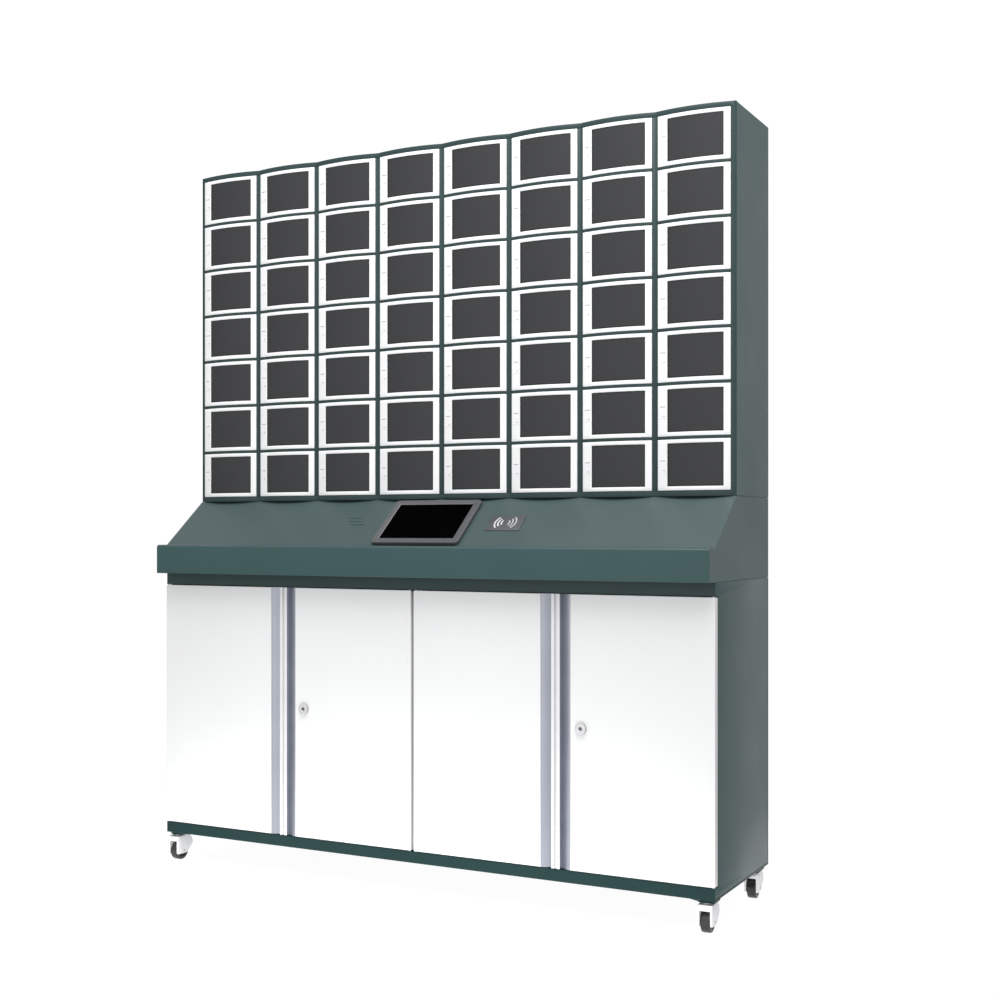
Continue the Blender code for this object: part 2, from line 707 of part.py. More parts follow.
def handle_section(hinged, meeting, has_tongue):
    """Plan of the handle profile: a flat lip at the meeting edge, then a scoop that runs out
    towards the board. A tongue covers the gap to the other door of the pair."""
    inward = math.copysign(1.0, hinged - meeting)
    front = BASE_DOOR_FRONT
    points = [(0.0, 0.0), (PROFILE_LIP, 0.0)]
    start = Vector((PROFILE_LIP, SCOOP_DEPTH))
    end = Vector((PROFILE_WIDTH, SCOOP_RIM))
    across = (end - start).normalized()
    deeper = Vector((-across.y, across.x))
    for step in range(SCOOP_STEPS + 1):
        part = step / SCOOP_STEPS
        point = start.lerp(end, part) + deeper * SCOOP_SAG * 4 * part * (1 - part)
        points.append(tuple(point))
    points += [(PROFILE_WIDTH, BASE_DOOR_THICK), (0.0, BASE_DOOR_THICK)]
    if has_tongue:
        rear = TONGUE_FRONT + TONGUE_THICK
        points += [(0.0, rear), (-TONGUE_REACH, rear), (-TONGUE_REACH, TONGUE_FRONT), (0.0, TONGUE_FRONT)]
    return [(meeting + inward * u, front + v) for u, v in points]


def make_lock(name, x, metal):
    """Cam lock: a round head with a key slot, a shank through the door and a cam behind it."""
    head_front = BASE_DOOR_FRONT - FIT - LOCK_HEAD
    cam_front = BASE_DOOR_FRONT + BASE_DOOR_THICK + CAM_BEHIND
    bevel = 0.0008
    profile = [(0, head_front), (LOCK_HEAD_RADIUS - bevel, head_front)]
    profile += [(LOCK_HEAD_RADIUS, head_front + bevel), (LOCK_HEAD_RADIUS, head_front + LOCK_HEAD)]
    profile += [(LOCK_SHANK_RADIUS, head_front + LOCK_HEAD), (LOCK_SHANK_RADIUS, cam_front + 0.001)]
    profile += [(0, cam_front + 0.001)]
    lock = turned(name, profile, LOCK_SIDES, "y", metal)
    lock.location = (x, 0, LOCK_HIGH)
    width, thick, length = CAM_SIZE
    start = (x - width / 2, cam_front, LOCK_HIGH - length)
    cam = boxes(f"{name}_cam", [(start, (x + width / 2, cam_front + thick, LOCK_HIGH + width / 2))])
    join(lock, cam)
    slot_start = (x - KEY_SLOT[0] / 2, head_front - 0.01, LOCK_HIGH - KEY_SLOT[2] / 2)
    slot_end = (x + KEY_SLOT[0] / 2, head_front + KEY_SLOT[1], LOCK_HIGH + KEY_SLOT[2] / 2)
    cut(lock, boxes(f"{name}_key_slot", [(slot_start, slot_end)]))


def make_base_doors(board, aluminium, metal):
    rear = BASE_DOOR_FRONT + BASE_DOOR_THICK
    for index, (hinged, meeting) in enumerate(base_door_spans()):
        number = index + 1
        inward = math.copysign(1.0, hinged - meeting)
        edge = meeting + inward * (PROFILE_WIDTH + FIT)
        outline = [(min(hinged, edge), BASE_DOOR_FRONT), (max(hinged, edge), BASE_DOOR_FRONT)]
        outline += [(max(hinged, edge), rear), (min(hinged, edge), rear)]
        door = prism(f"base_door_{number}", outline, BASE_DOOR_LOW, BASE_DOOR_HIGH, "z", board)
        pivot = (hinged - inward * BASE_PIVOT_INSET, BASE_DOOR_FRONT + BASE_PIVOT_INSET, BASE_DOOR_LOW)
        put_origin(door, pivot)
        second = number % 2 == 0
        handle = handle_section(hinged, meeting, second)
        prism(f"door_handle_{number}", handle, BASE_DOOR_LOW, BASE_DOOR_HIGH, "z", aluminium, True)
        if second:
            x = meeting + abs(LOCK_FROM_EDGE)
            hole = circle(LOCK_HOLE_RADIUS, LOCK_SIDES, (x, LOCK_HIGH))
            cut(door, prism(f"lock_hole_{number}", hole, BASE_DOOR_FRONT - 0.01, rear + 0.01, "y"))
            make_lock(f"cam_lock_{number}", x, metal)


def make_mains_inlet(plastic):
    """Appliance inlet in the rear panel: a flange, a body and three blades in a recess."""
    face = PANEL_BACK + FIT
    width, thick, height = INLET_FLANGE
    centre = Vector((INLET_X, face, INLET_Z))
    flange_low = centre - Vector((width / 2, 0, height / 2))
    inlet = boxes("mains_inlet", [(flange_low, centre + Vector((width / 2, thick, height / 2)))], plastic)
    width, depth, height = INLET_BODY
    body_low = centre - Vector((width / 2, depth, height / 2))
    join(inlet, boxes("inlet_body", [(body_low, centre + Vector((width / 2, thick / 2, height / 2)))]))
    width, depth, height = INLET_RECESS
    recess_low = centre - Vector((width / 2, depth, height / 2))
    cut(inlet, boxes("inlet_recess", [(recess_low, centre + Vector((width / 2, 0.01, height / 2)))]))
    corners = []
    for dx, dz in ((-0.007, -0.002), (0.007, -0.002), (0.0, 0.003)):
        middle = centre + Vector((dx, -depth, dz))
        size = Vector(INLET_PIN)
        low = middle - Vector((size.x / 2, 0.002, size.z / 2))
        corners.append((low, middle + Vector((size.x / 2, size.y - 0.002, size.z / 2))))
    join(inlet, boxes("inlet_blades", corners))


# ---------------------------------------------------------------- casters

def make_fork(name, metal):
    """Swivel fork about the origin's Z axis: a crown, two cheeks and the axle, trailing to +Y."""
    top = CASTER_PAD_LOW - FIT
    fork = prism(name, circle(CROWN_RADIUS, ROUND_SIDES), top - CROWN_THICK, top, "z", metal, True)
    outer = CHEEK_GAP / 2 + CHEEK_THICK
    bridge_low = WHEEL_RADIUS * 2 + 0.0036
    bridge = [(CHEEK_LEAD + 0.006, bridge_low), (CHEEK_TRAIL - 0.001, bridge_low)]
    bridge += [(CHEEK_TRAIL - 0.005, top - 0.001), (CHEEK_LEAD + 0.014, top - 0.001)]
    join(fork, prism(f"{name}_bridge", bridge, -outer + 0.0002, outer - 0.0002, "x"))
    cheek = [(CHEEK_LEAD, 0.041), (CHEEK_LEAD + 0.024, CHEEK_LOW), (CHEEK_TRAIL, CHEEK_LOW + 0.001)]
    cheek += [(CHEEK_TRAIL, top - 0.008), (CHEEK_TRAIL - 0.004, top - 0.002)]
    cheek += [(CHEEK_LEAD + 0.013, top - 0.002), (CHEEK_LEAD + 0.003, 0.055)]
    shape = bmesh.new()
    add_prism(shape, cheek, -outer, -CHEEK_GAP / 2, "x")
    add_prism(shape, cheek, CHEEK_GAP / 2, outer, "x")
    join(fork, finish(f"{name}_cheeks", shape, None))
    axle = circle(AXLE_RADIUS, 12, (CASTER_TRAIL, WHEEL_RADIUS))
    join(fork, prism(f"{name}_axle", axle, -outer - 0.0012, outer + 0.0012, "x"))
    return fork


def make_wheel(name, rubber):
    """Wheel about the origin's X axis, with a rounded tread, a dished hub and a bore."""
    half = WHEEL_WIDTH / 2
    r = WHEEL_RADIUS
    hub = half - HUB_SINK
    profile = [(WHEEL_BORE, -hub), (0.0160, -hub), (0.0175, -half), (r - 0.003, -half), (r, -half + 0.003)]
    profile += [(r, half - 0.003), (r - 0.003, half), (0.0175, half), (0.0160, hub), (WHEEL_BORE, hub)]
    return turned(name, profile, ROUND_SIDES, "x", rubber)


def make_casters(metal, rubber):
    for place_name, (x, y) in caster_points().items():
        turn = math.radians(CASTER_TURNS[place_name])
        pivot = bpy.data.objects.new(f"caster_pivot_{place_name}", None)
        bpy.context.scene.collection.objects.link(pivot)
        pivot.location = (x, y, 0)
        pivot.rotation_euler = (0, 0, turn)
        fork = make_fork(f"caster_fork_{place_name}", metal)
        fork.parent = pivot
        for modifier in fork.modifiers:
            modifier.object.parent = pivot
        wheel = make_wheel(f"caster_wheel_{place_name}", rubber)
        wheel.parent = pivot
        wheel.location = (0, CASTER_TRAIL, WHEEL_RADIUS)


def main():
    clear_scene()
    frame_paint = material("frame_green_grey", (0.055, 0.085, 0.085), 0.45)
    body_paint = material("body_green_grey", (0.125, 0.155, 0.155), 0.45)
    door_plastic = material("door_white", (0.86, 0.87, 0.88), 0.30)
    board = material("board_white", (0.85, 0.86, 0.87), 0.40)
    liner = material("liner_dark", (0.060, 0.070, 0.070), 0.60)
    aluminium = material("profile_aluminium", (0.62, 0.64, 0.66), 0.35, 1.0)
    zinc = material("zinc_bright", (0.70, 0.70, 0.70), 0.30, 1.0)
    screen_grey = material("screen_grey", (0.16, 0.16, 0.17), 0.50)
    glass = material("screen_black", (0.004, 0.004, 0.004), 0.08)
    rubber = material("wheel_black", (0.015, 0.015, 0.016), 0.60)
    black_plastic = material("inlet_black", (0.020, 0.020, 0.020), 0.50)
    make_upper_shell(frame_paint)
    make_upper_back(body_paint)
    make_charging_panel(liner)
    make_shelves(frame_paint)
    make_dividers(frame_paint)
    make_doors(door_plastic)
    make_console(body_paint)
    make_screen(screen_grey, glass)
    make_card_reader(screen_grey)
    make_power_supply(zinc)
    make_base_sides(body_paint)
    make_base_floor(frame_paint)
    make_base_top(frame_paint)
    make_base_back(body_paint)
    make_base_divider(frame_paint)
    make_base_doors(board, aluminium, zinc)
    make_mains_inlet(black_plastic)
    make_casters(zinc, rubber)


main()
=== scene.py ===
"""Looks of the phone charging kiosk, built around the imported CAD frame.

Metres, +Z up, front towards -Y, the same frame as the CAD.
"""
import math

import bmesh
import bpy
from mathutils import Matrix, Vector


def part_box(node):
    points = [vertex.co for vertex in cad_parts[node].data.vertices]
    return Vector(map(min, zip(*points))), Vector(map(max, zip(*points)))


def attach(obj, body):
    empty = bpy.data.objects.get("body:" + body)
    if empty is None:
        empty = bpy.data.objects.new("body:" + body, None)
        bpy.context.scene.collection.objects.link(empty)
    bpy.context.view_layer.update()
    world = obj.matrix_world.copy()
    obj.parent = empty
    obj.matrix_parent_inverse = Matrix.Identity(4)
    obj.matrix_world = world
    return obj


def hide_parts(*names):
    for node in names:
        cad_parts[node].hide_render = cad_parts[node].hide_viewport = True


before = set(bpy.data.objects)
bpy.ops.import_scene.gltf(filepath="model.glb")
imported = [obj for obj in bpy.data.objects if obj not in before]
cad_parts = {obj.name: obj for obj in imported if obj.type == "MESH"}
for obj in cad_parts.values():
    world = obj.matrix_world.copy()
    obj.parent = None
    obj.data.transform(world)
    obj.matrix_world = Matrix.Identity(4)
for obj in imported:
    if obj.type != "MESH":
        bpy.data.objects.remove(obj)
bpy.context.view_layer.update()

# ---------------------------------------------------------------- layout, from the CAD

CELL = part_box("cell_door_7")
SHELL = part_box("upper_shell")
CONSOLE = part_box("console_shell")
HALF = SHELL[1].x
BACK = SHELL[1].y
COLUMNS = 8
ROWS = 7
DOOR_WIDTH = CELL[1].x - CELL[0].x
PIN_REACH = 0.0034  # a hinge pin stands out this far above and below its door
DOOR_HEIGHT = CELL[1].z - CELL[0].z - 2 * PIN_REACH
DOOR_LOW = CELL[0].z + PIN_REACH
ROW_PITCH = (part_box("cell_door_1")[0].z - CELL[0].z) / (ROWS - 1)
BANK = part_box("door_bank_7")
COLUMN_PITCH = CELL[0].x - BANK[0].x
FIRST_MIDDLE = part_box("door_bank_1")[0].x + DOOR_WIDTH / 2
BOW = 0.012
BOW_RADIUS = (COLUMN_PITCH ** 2 / 4 + BOW ** 2) / (2 * BOW)
UPPER_FRONT = SHELL[0].y + BOW
SHEET = 0.0015
LINER_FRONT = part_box("charging_panel")[0].y
PLINTH_LOW = 0.0790
PLINTH_HIGH = 0.1080
HAIR = 0.0001  # between faces that would otherwise share a plane
GAP = 0.0002  # between neighbouring pieces
EDGE = 0.0005  # usual rounding of a sheet or plate

WINDOW_LEFT = 0.0263
WINDOW_WIDTH = 0.1406
WINDOW_BOTTOM = 0.0098
WINDOW_HEIGHT = 0.1034
BOW_STEPS = 20


def column_middle(column):
    return FIRST_MIDDLE + column * COLUMN_PITCH


def door_low(row):
    """Bottom of the doors in a row; row 0 is the top one."""
    return DOOR_LOW + (ROWS - 1 - row) * ROW_PITCH


def bow_at(x):
    """How far the front bulges forward at x."""
    column = min(max(round((x - FIRST_MIDDLE) / COLUMN_PITCH), 0), COLUMNS - 1)
    across = abs(x - column_middle(column))
    if across >= COLUMN_PITCH / 2:
        return 0.0
    return math.sqrt(BOW_RADIUS ** 2 - across ** 2) - (BOW_RADIUS - BOW)


def front_y(x, setback=0.0):
    return UPPER_FRONT - bow_at(x) + setback


def bowed(setback):
    """The y(x) of a surface that follows the bowed front, set back from it."""
    return lambda x: front_y(x, setback)


# ---------------------------------------------------------------- materials

def node_material(name):
    material = bpy.data.materials.new(name)
    material.use_nodes = True
    tree = material.node_tree
    shader = tree.nodes["Principled BSDF"]
    coordinates = tree.nodes.new("ShaderNodeTexCoord")
    return material, tree, shader, coordinates.outputs["Object"]


def add_noise(tree, vector, scale, detail=3.0):
    noise = tree.nodes.new("ShaderNodeTexNoise")
    noise.inputs["Scale"].default_value = scale
    noise.inputs["Detail"].default_value = detail
    tree.links.new(vector, noise.inputs["Vector"])
    return noise.outputs["Fac"]


def add_ramp(tree, factor, dark, light):
    ramp = tree.nodes.new("ShaderNodeValToRGB")
    for element, position, colour in zip(ramp.color_ramp.elements, (0.35, 0.65), (dark, light)):
        element.position = position
        element.color = (*colour, 1)
    tree.links.new(factor, ramp.inputs["Fac"])
    return ramp.outputs["Color"]


def add_range(tree, factor, low, high):
    spread = tree.nodes.new("ShaderNodeMapRange")
    spread.inputs["From Min"].default_value = 0.3
    spread.inputs["From Max"].default_value = 0.7
    spread.inputs["To Min"].default_value = low
    spread.inputs["To Max"].default_value = high
    tree.links.new(factor, spread.inputs["Value"])
    return spread.outputs["Result"]


def add_bump(tree, height, strength, distance, shader):
    bump = tree.nodes.new("ShaderNodeBump")
    bump.inputs["Strength"].default_value = strength
    bump.inputs["Distance"].default_value = distance
    tree.links.new(height, bump.inputs["Height"])
    tree.links.new(bump.outputs["Normal"], shader.inputs["Normal"])


def stretched(tree, vector, scale):
    mapping = tree.nodes.new("ShaderNodeMapping")
    mapping.inputs["Scale"].default_value = scale
    tree.links.new(vector, mapping.inputs["Vector"])
    return mapping.outputs["Vector"]


def shade(colour, factor):
    return tuple(c * factor for c in colour)


GRAIN_DEPTH = 0.0003
ROUGH_SPREAD = 0.04
EXTRUDED = (1.0, 1.0, 0.02)  # grain drawn out along Z


def surface(name, colour, rough, vary, patch, grain, bump, metallic=0.0, gloss=0.5, stretch=None):
    """A finish with slow patches of colour and gloss, and a fine grain; patch and grain are scales."""
    material, tree, shader, vector = node_material(name)
    patches = add_noise(tree, vector, patch, 4.0)
    colours = add_ramp(tree, patches, shade(colour, 1 - vary), shade(colour, 1 + vary))
    uneven = add_range(tree, patches, rough - ROUGH_SPREAD, rough + ROUGH_SPREAD)
    tree.links.new(colours, shader.inputs["Base Color"])
    tree.links.new(uneven, shader.inputs["Roughness"])
    fine = stretched(tree, vector, stretch) if stretch else vector
    add_bump(tree, add_noise(tree, fine, grain, 2.0), bump, GRAIN_DEPTH, shader)
    shader.inputs["Metallic"].default_value = metallic
    shader.inputs["Specular IOR Level"].default_value = gloss
    return material


FINISHES = {
    "paint": surface("green_powder_coat", (0.021, 0.062, 0.064), 0.40, 0.04, 5.0, 1400.0, 0.10),
    # A darker copy of the green coat: painted shade on the front frame strips, which sit back between the bowed
    # doors.
    "frame": surface("green_frame_coat", (0.021, 0.043, 0.044), 0.44, 0.04, 5.0, 1400.0, 0.10,
                     gloss=0.35),
    "plinth": surface("dark_plinth_coat", (0.0120, 0.033, 0.033), 0.46, 0.05, 5.0, 1400.0, 0.10,
                      gloss=0.15),
    # A lighter, greyer copy of the green coat for the console's upward faces: painted sheen and light from
    # above.
    "slope": surface("green_slope_coat_painted_sheen", (0.039, 0.066, 0.067), 0.42, 0.04, 5.0, 1400.0, 0.10),
    # A darker copy of the green coat: painted shade of the console's lip on the band below it.
    "band": surface("dark_band_coat_painted_shade", (0.0095, 0.0315, 0.0315), 0.46, 0.05, 5.0, 1400.0, 0.10),
    "liner": surface("dark_liner_coat", (0.045, 0.052, 0.053), 0.60, 0.05, 7.0, 1200.0, 0.12),
    "slit": surface("black_slit", (0.006, 0.008, 0.008), 0.70, 0.05, 30.0, 1200.0, 0.05),
    "door": surface("white_door_plastic", (0.80, 0.805, 0.81), 0.32, 0.010, 6.0, 1600.0, 0.05),
    "label": surface("pale_label_plate", (0.80, 0.80, 0.81), 0.45, 0.010, 30.0, 1600.0, 0.05),
    "mark": surface("grey_mark", (0.28, 0.28, 0.29), 0.55, 0.05, 60.0, 1600.0, 0.05),
    "window": surface("smoked_acrylic", (0.0310, 0.0318, 0.0336), 0.40, 0.015, 3.0, 500.0, 0.01,
                      gloss=0.28),
    # Black rim round each pane: painted shade where the pane sits back in the frame, widest on the left and
    # below.
    "shade_rim": surface("black_painted_shade_rim", (0.008, 0.008, 0.009), 0.60, 0.08, 40.0, 1200.0, 0.15),
    "board": surface("white_laminate_board", (0.705, 0.71, 0.715), 0.38, 0.008, 4.0, 1100.0, 0.06),
    "profile": surface("satin_aluminium_lip", (0.70, 0.70, 0.71), 0.34, 0.02, 12.0, 700.0, 0.10,
                       metallic=0.15, stretch=EXTRUDED),
    "scoop": surface("blue_grey_anodised", (0.40, 0.42, 0.48), 0.38, 0.03, 12.0, 700.0, 0.10,
                     metallic=0.85, stretch=EXTRUDED),
    "tongue": surface("grey_seal_strip", (0.58, 0.58, 0.58), 0.50, 0.03, 20.0, 900.0, 0.10),
    "zinc": surface("zinc_plate", (0.62, 0.63, 0.64), 0.34, 0.06, 30.0, 900.0, 0.12, metallic=1.0),
    "chrome": surface("satin_chrome", (0.66, 0.66, 0.67), 0.30, 0.03, 60.0, 900.0, 0.06, metallic=0.55),
    "case": surface("grey_screen_case", (0.066, 0.068, 0.071), 0.48, 0.05, 20.0, 1500.0, 0.20),
    # A paler copy of the grey case: painted highlight along the bevel down to the glass.
    "bevel": surface("pale_screen_bevel_painted_highlight", (0.13, 0.13, 0.135), 0.38, 0.04, 20.0, 1500.0, 0.10),
    "glass": surface("black_screen_glass", (0.0009, 0.0009, 0.0009), 0.12, 0.20, 8.0, 300.0, 0.005,
                     gloss=0.0),
    "reader": surface("dark_reader_panel", (0.052, 0.058, 0.062), 0.50, 0.06, 30.0, 1500.0, 0.15),
    "grey_print": surface("grey_print", (0.36, 0.36, 0.37), 0.50, 0.03, 60.0, 1500.0, 0.05),
    "rim": surface("grey_lock_rim", (0.40, 0.40, 0.41), 0.34, 0.03, 60.0, 900.0, 0.06, metallic=0.4),
    "plug": surface("grey_lock_plug", (0.15, 0.15, 0.155), 0.40, 0.05, 60.0, 900.0, 0.06, metallic=0.3),
    "white_print": surface("white_print", (0.52, 0.52, 0.53), 0.50, 0.03, 60.0, 1500.0, 0.05),
    "fork": surface("pale_grey_fork", (0.76, 0.76, 0.78), 0.36, 0.03, 24.0, 1200.0, 0.12, metallic=0.2),
    "tread": surface("black_wheel_tread", (0.021, 0.021, 0.022), 0.34, 0.10, 60.0, 900.0, 0.20),
    "hub": surface("grey_wheel_hub", (0.16, 0.16, 0.17), 0.45, 0.06, 40.0, 1200.0, 0.15),
    "black": surface("black_plastic", (0.016, 0.016, 0.017), 0.45, 0.10, 30.0, 1400.0, 0.15),
}


# ---------------------------------------------------------------- mesh helpers

def place(u, v, w, axis):
    """The point at (u, v) in an outline's plane and at w along the axis it is extruded on."""
    return {"x": (w, u, v), "y": (u, w, v), "z": (u, v, w)}[axis]


def add_prism(shape, outline, low, high, axis):
    lows = [shape.verts.new(place(u, v, low, axis)) for u, v in outline]
    highs = [shape.verts.new(place(u, v, high, axis)) for u, v in outline]
    shape.faces.new(lows)
    shape.faces.new(highs)
    for index in range(len(outline)):
        after = (index + 1) % len(outline)
        shape.faces.new((lows[index], lows[after], highs[after], highs[index]))


def add_box(shape, low, high):
    outline = [(low[0], low[1]), (high[0], low[1]), (high[0], high[1]), (low[0], high[1])]
    add_prism(shape, outline, low[2], high[2], "z")


def add_loft(shape, loops):
    """Skin loops of equal length in order and close both ends."""
    rings = [[shape.verts.new(point) for point in loop] for loop in loops]
    count = len(loops[0])
    for first, second in zip(rings, rings[1:]):
        for index in range(count):
            after = (index + 1) % count
            shape.faces.new((first[index], first[after], second[after], second[index]))
    shape.faces.new(rings[0])
    shape.faces.new(rings[-1])


def add_panel(shape, xs, zs, front, back, holes=()):
    """A plate on a grid of x and z lines, between two y(x) surfaces, open at the given cells."""
    count_x = len(xs)
    count_z = len(zs)
    fronts = [[shape.verts.new((x, front(x), z)) for z in zs] for x in xs]
    backs = [[shape.verts.new((x, back(x), z)) for z in zs] for x in xs]

    def solid(i, j):
        if not (0 <= i < count_x - 1 and 0 <= j < count_z - 1):
            return False
        middle_x = (xs[i] + xs[i + 1]) / 2
        middle_z = (zs[j] + zs[j + 1]) / 2
        return not any(a < middle_x < b and c < middle_z < d for a, b, c, d in holes)

    def wall(i, j, next_i, next_j):
        shape.faces.new((fronts[i][j], fronts[next_i][next_j], backs[next_i][next_j], backs[i][j]))

    for i in range(-1, count_x):
        for j in range(-1, count_z):
            here = solid(i, j)
            if here:
                for side in (fronts, backs):
                    shape.faces.new((side[i][j], side[i + 1][j], side[i + 1][j + 1], side[i][j + 1]))
            if here != solid(i + 1, j):
                wall(i + 1, j, i + 1, j + 1)
            if here != solid(i, j + 1):
                wall(i, j + 1, i + 1, j + 1)


def soften(shape, width, segments=2, least=50.0, choose=None):
    """Round the sharp edges, or those of them that choose() picks."""
    bmesh.ops.recalc_face_normals(shape, faces=shape.faces)
    limit = math.radians(least)
    edges = [e for e in shape.edges if len(e.link_faces) == 2 and e.calc_face_angle() > limit]
    if choose:
        edges = [e for e in edges if choose(e)]
    bmesh.ops.bevel(shape, geom=edges, offset=width, segments=segments, profile=0.5,
                    affect="EDGES", clamp_overlap=True)


def absorb(shape, part, matrix=None, index=0):
    """Move a part's faces into a shape, placed by a matrix, with one material index."""
    if matrix:
        bmesh.ops.transform(part, matrix=matrix, verts=part.verts)
    for face in part.faces:
        face.material_index = index
    mesh = bpy.data.meshes.new("part")
    part.to_mesh(mesh)
    part.free()
    shape.from_mesh(mesh)
    bpy.data.meshes.remove(mesh)


def add_turned(shape, profile, sides, matrix=None, index=0):
    """Revolve (radius, height) points about the matrix's Z axis; a radius of 0 closes an end."""
    part = bmesh.new()
    rings = []
    for radius, height in profile:
        points = [(0.0, 0.0)] if radius == 0 else circle(radius, sides)
        rings.append([part.verts.new((x, y, height)) for x, y in points])
    pairs = list(zip(rings, rings[1:]))
    if profile[0][0] != 0:
        pairs.append((rings[-1], rings[0]))
    for first, second in pairs:
        for step in range(sides):
            after = (step + 1) % sides
            corners = [first[step % len(first)], first[after % len(first)],
                       second[after % len(second)], second[step % len(second)]]
            part.faces.new(list(dict.fromkeys(corners)))
    absorb(shape, part, matrix, index)


def add_soft_prism(shape, outline, low, high, axis, edge, matrix=None, index=0):
    """An extruded outline with its sharp edges rounded."""
    part = bmesh.new()
    add_prism(part, outline, low, high, axis)
    soften(part, edge)
    absorb(shape, part, matrix, index)


def carved(shape, cutter):
    """The shape less the cutter, as a new bmesh."""
    items = []
    for source in (shape, cutter):
        bmesh.ops.recalc_face_normals(source, faces=source.faces)
        mesh = bpy.data.meshes.new("carving")
        source.to_mesh(mesh)
        source.free()
        items.append(bpy.data.objects.new("carving", mesh))
        bpy.context.scene.collection.objects.link(items[-1])
    difference = items[0].modifiers.new("difference", "BOOLEAN")
    difference.solver = "EXACT"
    difference.object = items[1]
    result = bmesh.new()
    result.from_object(items[0], bpy.context.evaluated_depsgraph_get())
    for item in items:
        mesh = item.data
        bpy.data.objects.remove(item)
        bpy.data.meshes.remove(mesh)
    return result


def drop_strays(shape):
    """Remove the vertices that no face uses."""
    loose = [v for v in shape.verts if not v.link_faces]
    bmesh.ops.delete(shape, geom=loose, context="VERTS")


def finish(name, shape, materials, body, replaces=(), angle=32.0, choose=None):
    """Turn a bmesh into a piece; choose(centre, normal) gives a face's material index."""
    drop_strays(shape)
    bmesh.ops.recalc_face_normals(shape, faces=shape.faces)
    if choose:
        for face in shape.faces:
            face.material_index = choose(face.calc_center_median(), face.normal)
    mesh = bpy.data.meshes.new(name)
    shape.to_mesh(mesh)
    shape.free()
    piece = bpy.data.objects.new(name, mesh)
    bpy.context.scene.collection.objects.link(piece)
    for key in materials:
        mesh.materials.append(FINISHES[key])
    mesh.shade_smooth()
    mesh.set_sharp_from_angle(angle=math.radians(angle))
    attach(piece, body)
    if replaces:
        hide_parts(*replaces)
    return piece


def rounded(width, height, radius, steps=5):
    """A rectangle about the origin with rounded corners, anticlockwise."""
    points = []
    for quarter, (sx, sy) in enumerate([(1, 1), (-1, 1), (-1, -1), (1, -1)]):
        for step in range(steps + 1):
            angle = math.pi / 2 * (quarter + step / steps)
            points.append((sx * (width / 2 - radius) + radius * math.cos(angle),
                           sy * (height / 2 - radius) + radius * math.sin(angle)))
    return points


def circle(radius, sides, centre=(0.0, 0.0)):
    angles = [2 * math.pi * index / sides for index in range(sides)]
    return [(centre[0] + radius * math.cos(a), centre[1] + radius * math.sin(a)) for a in angles]


def at_height(outline, z):
    return [(x, y, z) for x, y in outline]


def spaced(low, high, steps):
    return [low + (high - low) * step / steps for step in range(steps + 1)]


def round_corners(points, radius, steps=4):
    """Replace each corner of a closed outline by an arc; radius may be a list, one for each corner."""
    result = []
    count = len(points)
    for index, point in enumerate(points):
        size = radius[index] if isinstance(radius, (list, tuple)) else radius
        here = Vector(point)
        before = (Vector(points[index - 1]) - here).normalized()
        after = (Vector(points[(index + 1) % count]) - here).normalized()
        if size <= 0:
            result.append(tuple(here))
            continue
        half = before.angle(after) / 2
        reach = size / math.tan(half)
        centre = here + (before + after).normalized() * (size / math.sin(half))
        start = here + before * reach - centre
        end = here + after * reach - centre
        turn = start.angle_signed(end)
        for step in range(steps + 1):
            result.append(tuple(centre + Matrix.Rotation(-turn * step / steps, 2) @ start))
    return result


# ---------------------------------------------------------------- upper cabinet

DOOR_PLAY = 0.0007
MOUTH_HALF = column_middle(COLUMNS - 1) + DOOR_WIDTH / 2 + DOOR_PLAY
MOUTH_LOW = door_low(ROWS - 1) - DOOR_PLAY
MOUTH_HIGH = door_low(0) + DOOR_HEIGHT + DOOR_PLAY
FLANGE_HALF = (COLUMN_PITCH - DOOR_WIDTH) / 2 - 0.0008
STRIP_GAP = 0.0006
TRAY_INSET = 0.0010
HEM_EDGE = 0.0006
FRAME_EDGE = 0.0009
CORNER = 0.0050
CORNER_STEPS = 6
LEAST_SPACING = 0.0008  # between two x lines of a bowed surface


def bow_lines(low, high, extra=()):
    """The x lines of a bowed surface: every column's steps between two ends, and any extra ones."""
    lines = {low, high, *extra}
    for column in range(COLUMNS):
        for step in range(BOW_STEPS + 1):
            x = column_middle(column) + COLUMN_PITCH * (step / BOW_STEPS - 0.5)
            if low < x < high and min(abs(x - line) for line in lines) > LEAST_SPACING:
                lines.add(x)
    return sorted(lines)


def corner_arc(radius, sign):
    """Plan of the rounded front corner on one side, from the front round to the side."""
    centre = (sign * (HALF - CORNER), UPPER_FRONT + CORNER)
    angles = spaced(0, math.pi / 2, CORNER_STEPS)
    return [(centre[0] + sign * radius * math.sin(a), centre[1] - radius * math.cos(a)) for a in angles]


